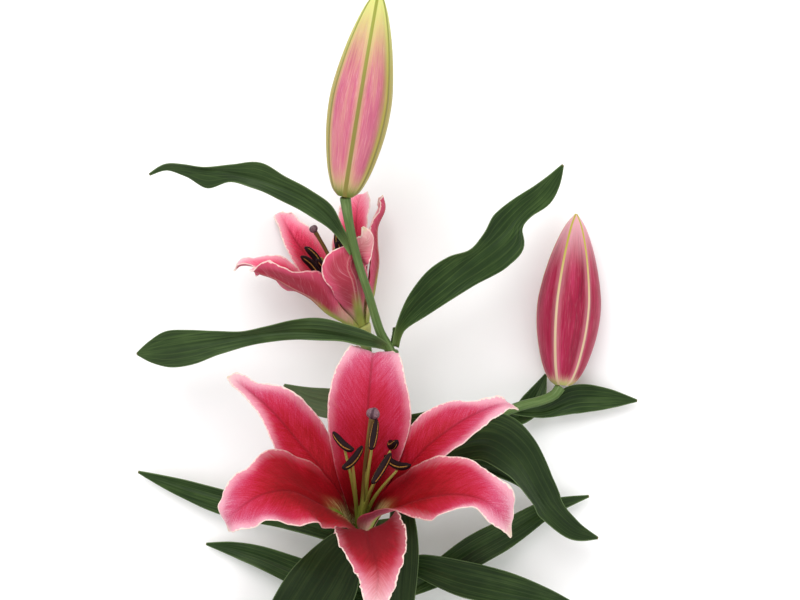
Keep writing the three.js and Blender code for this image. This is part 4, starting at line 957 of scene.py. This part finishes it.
def make_anther(prefix, index, stamen, place, material):
    rows = filament_rows(stamen, index)
    knee, end = rows[2, :3], rows[3, :3]
    along = unit(np.array(stamen[1], float))
    ahead = unit(end - knee)
    slope = (ahead * along).sum()
    away = unit(ahead - slope * along)
    centre = end + away * (ANTHER_SEAT + FILAMENT_RADIUS * 0.7 * abs(slope))
    line = [(*(centre + along * share * ANTHER_LENGTH + away * ANTHER_BOW * (2 * share) ** 2),
             wide * ANTHER_RADIUS) for share, wide in ANTHER_SHAPE]
    slits = np.radians([62, -62, 180])

    def from_slit(_, angle):
        gap = [from_nearest(angle - slit, FULL_TURN) for slit in slits]
        return np.minimum(np.minimum(gap[0], gap[1]), gap[2] * 1.2)

    def lobes(u, angle):
        fade = smoothstep(u, 0.02, 0.15) * smoothstep(u, 0.98, 0.85)
        return 1 - 0.22 * fade * np.exp(-((from_slit(u, angle) / 0.3) ** 2))

    round_piece(f"{prefix}_anther_{index + 1}", material, line, ANTHER_GRID, lobes, from_slit,
                ANTHER_LENGTH, place=place)


def make_stigma(prefix, style, place, material):
    end, before = np.array(style[-1][:3]), np.array(style[-2][:3])
    ahead = unit(end - before)
    radius = STIGMA_SWELL * style[-1][3]
    line = [(*(end + ahead * height * radius), wide * radius) for height, wide in STIGMA_SHAPE]

    def from_slit(_, angle):
        return from_nearest(angle, FULL_TURN / 3)

    def lobes(u, angle):
        notch = np.exp(-((from_slit(u, angle) / 0.3) ** 2))
        return 1.05 + 0.16 * np.cos(3 * angle + math.pi) - 0.2 * notch * smoothstep(u, 0.3, 1)

    round_piece(f"{prefix}_stigma", material, line, STIGMA_GRID, lobes, from_slit,
                STIGMA_SHAPE[-1][0] * radius, place=place)


def make_organs(prefix, style, stamens, place, material):
    lines = [np.array(style, float)] + [filament_rows(stamen, i) for i, stamen in enumerate(stamens)]
    placed = [np.hstack([from_bloom(rows[:, :3], place), rows[:, 3:]]) for rows in lines]
    tubes = [(rows, *ORGAN_GRID) for rows in placed]
    name = f"{prefix}_filaments_and_style"
    organs = melted(name + "_fine", tubes, ORGAN_VOXEL, ORGAN_SMOOTHING)
    follow_lines(organs, [fine_rows(rows, LINE_POINTS) for rows in placed])
    dress(organs, name, material)


def make_bloom(prefix, place, tepals, stamens, style, looks, seed):
    for i, (side, tepal) in enumerate(tepals.items()):
        make_tepal(prefix, side, tepal, place, looks[side[:5]], seed + i)
    make_organs(prefix, style, stamens, place, looks["organs"])
    for i, stamen in enumerate(stamens):
        make_anther(prefix, i, stamen, place, looks["anther"])
    make_stigma(prefix, style, place, looks["stigma"])


def make_bud(name, bud, material):
    base, tip, radius, turn = bud
    along = np.subtract(tip, base)
    rows = [(*(base + along * share), wide * radius) for share, wide in BUD_SHAPE]

    def from_rib(u, angle):
        wide = along_rows(BUD_SHAPE, u.ravel())[:, 1].reshape(u.shape)
        return from_nearest(angle, FULL_TURN / 6) * wide * radius

    def swell(u, angle):
        across = from_rib(u, angle)
        rib = 0.02 * np.exp(-((across / 1.5) ** 4))
        beside = 0.014 * np.exp(-(((across - 2.4) / 0.8) ** 2))
        seam = 0.012 * np.exp(-((across / 5) ** 2))
        fade = smoothstep(u, 0.0, 0.06) * smoothstep(u, 1.0, 0.9)
        return 0.965 + 0.02 * np.cos(3 * angle) + (rib - beside + seam) * fade

    round_piece(name, material, rows, BUD_GRID, swell, from_rib, np.linalg.norm(along),
                math.radians(turn))


# Stage

def make_floor(material):
    mesh = bpy.data.meshes.new("floor")
    corners = [(x * FLOOR_REACH, y * FLOOR_REACH, 0) for x, y in ((-1, -1), (1, -1), (1, 1), (-1, 1))]
    mesh.from_pydata(corners, [], [(0, 1, 2, 3)])
    floor = new_object("floor", mesh)
    floor.data.materials.append(material)


def make_light(name, place, aim, size, power):
    data = bpy.data.lights.new(name, "AREA")
    data.shape = "DISK"
    data.size = size
    data.energy = power
    light = new_object(name, data)
    light.location = place
    light.rotation_euler = (Vector(aim) - Vector(place)).to_track_quat("-Z", "Y").to_euler()


def make_stage():
    make_floor(floor_material())
    make_light("key_light", (-0.4, 1.2, 1.8), (0, 0.05, 0.05), 1.5, 25)
    make_light("fill_light", (1.2, -0.9, 1.6), (0, 0, 0.05), 1.4, 7)
    world = bpy.data.worlds.new("studio")
    world.use_nodes = True
    sky = world.node_tree.nodes["Background"]
    sky.inputs["Color"].default_value = (1, 1, 1, 1)
    sky.inputs["Strength"].default_value = SKY_STRENGTH
    scene = bpy.context.scene
    scene.world = world
    scene.view_settings.view_transform = "Standard"


def make_camera():
    data = bpy.data.cameras.new("photo_camera")
    data.sensor_width = SENSOR_WIDTH
    data.lens = SENSOR_WIDTH * (CAMERA_HEIGHT - PHOTO_PLANE) / PHOTO_WIDTH
    camera = new_object("photo_camera", data)
    x, y, _ = HEAD_FROM_CENTRE * MM
    camera.location = (x, y, CAMERA_HEIGHT)
    bpy.context.scene.camera = camera


def make_flower():
    make_stem(stem_material())
    green = leaf_material()
    for i, (name, leaf) in enumerate(LEAVES.items()):
        make_leaf(name, leaf, green, 100 + i)
    shared = {"organs": organ_material(), "anther": anther_material(), "stigma": stigma_material()}
    open_looks = {
        "inner": tepal_material("open_inner", OPEN_STOPS, (186, 78, 102), (206, 180, 150), 1.8),
        "outer": tepal_material("open_outer", OPEN_STOPS, (186, 78, 102), (206, 190, 150), 2.2)}
    half_looks = {
        "inner": tepal_material("half_inner", HALF_STOPS, (160, 54, 70), (214, 166, 156), 1.8),
        "outer": tepal_material("half_outer", HALF_STOPS, (156, 44, 62), (214, 180, 160), 2.0)}
    make_bloom("open", OPEN_BLOOM, OPEN_TEPALS, OPEN_STAMENS, OPEN_STYLE, {**shared, **open_looks},
               10)
    make_bloom("half", HALF_OPEN_BLOOM, HALF_TEPALS, HALF_STAMENS, HALF_STYLE,
               {**shared, **half_looks}, 40)
    top = bud_material(
        "bud_top_skin", body=[(0.3, (164, 58, 104)), (0.5, (190, 100, 122)), (0.7, (200, 146, 128))],
        tip=(204, 208, 120), tip_from=0.52, low=(190, 182, 112), low_to=0.24, base=(104, 120, 44),
        rib_top=(146, 148, 62), rib_low=(132, 118, 62), rib_width=1.25, beside_rib=0.3,
        flank=(158, 152, 62), flank_share=0.9, streaky=0.3)
    right = bud_material(
        "bud_right_skin", body=[(0.3, (108, 6, 36)), (0.5, (148, 18, 56)), (0.7, (184, 50, 92))],
        tip=(220, 164, 172), tip_from=0.6, low=(214, 176, 150), low_to=0.16, base=(176, 172, 104),
        rib_top=(186, 172, 64), rib_low=(214, 184, 156), rib_width=0.8, beside_rib=0.25,
        flank=(104, 6, 30), flank_share=0, streaky=0.1)
    make_bud("bud_top", TOP_BUD, top)
    make_bud("bud_right", RIGHT_BUD, right)


make_camera()
make_stage()
make_flower()
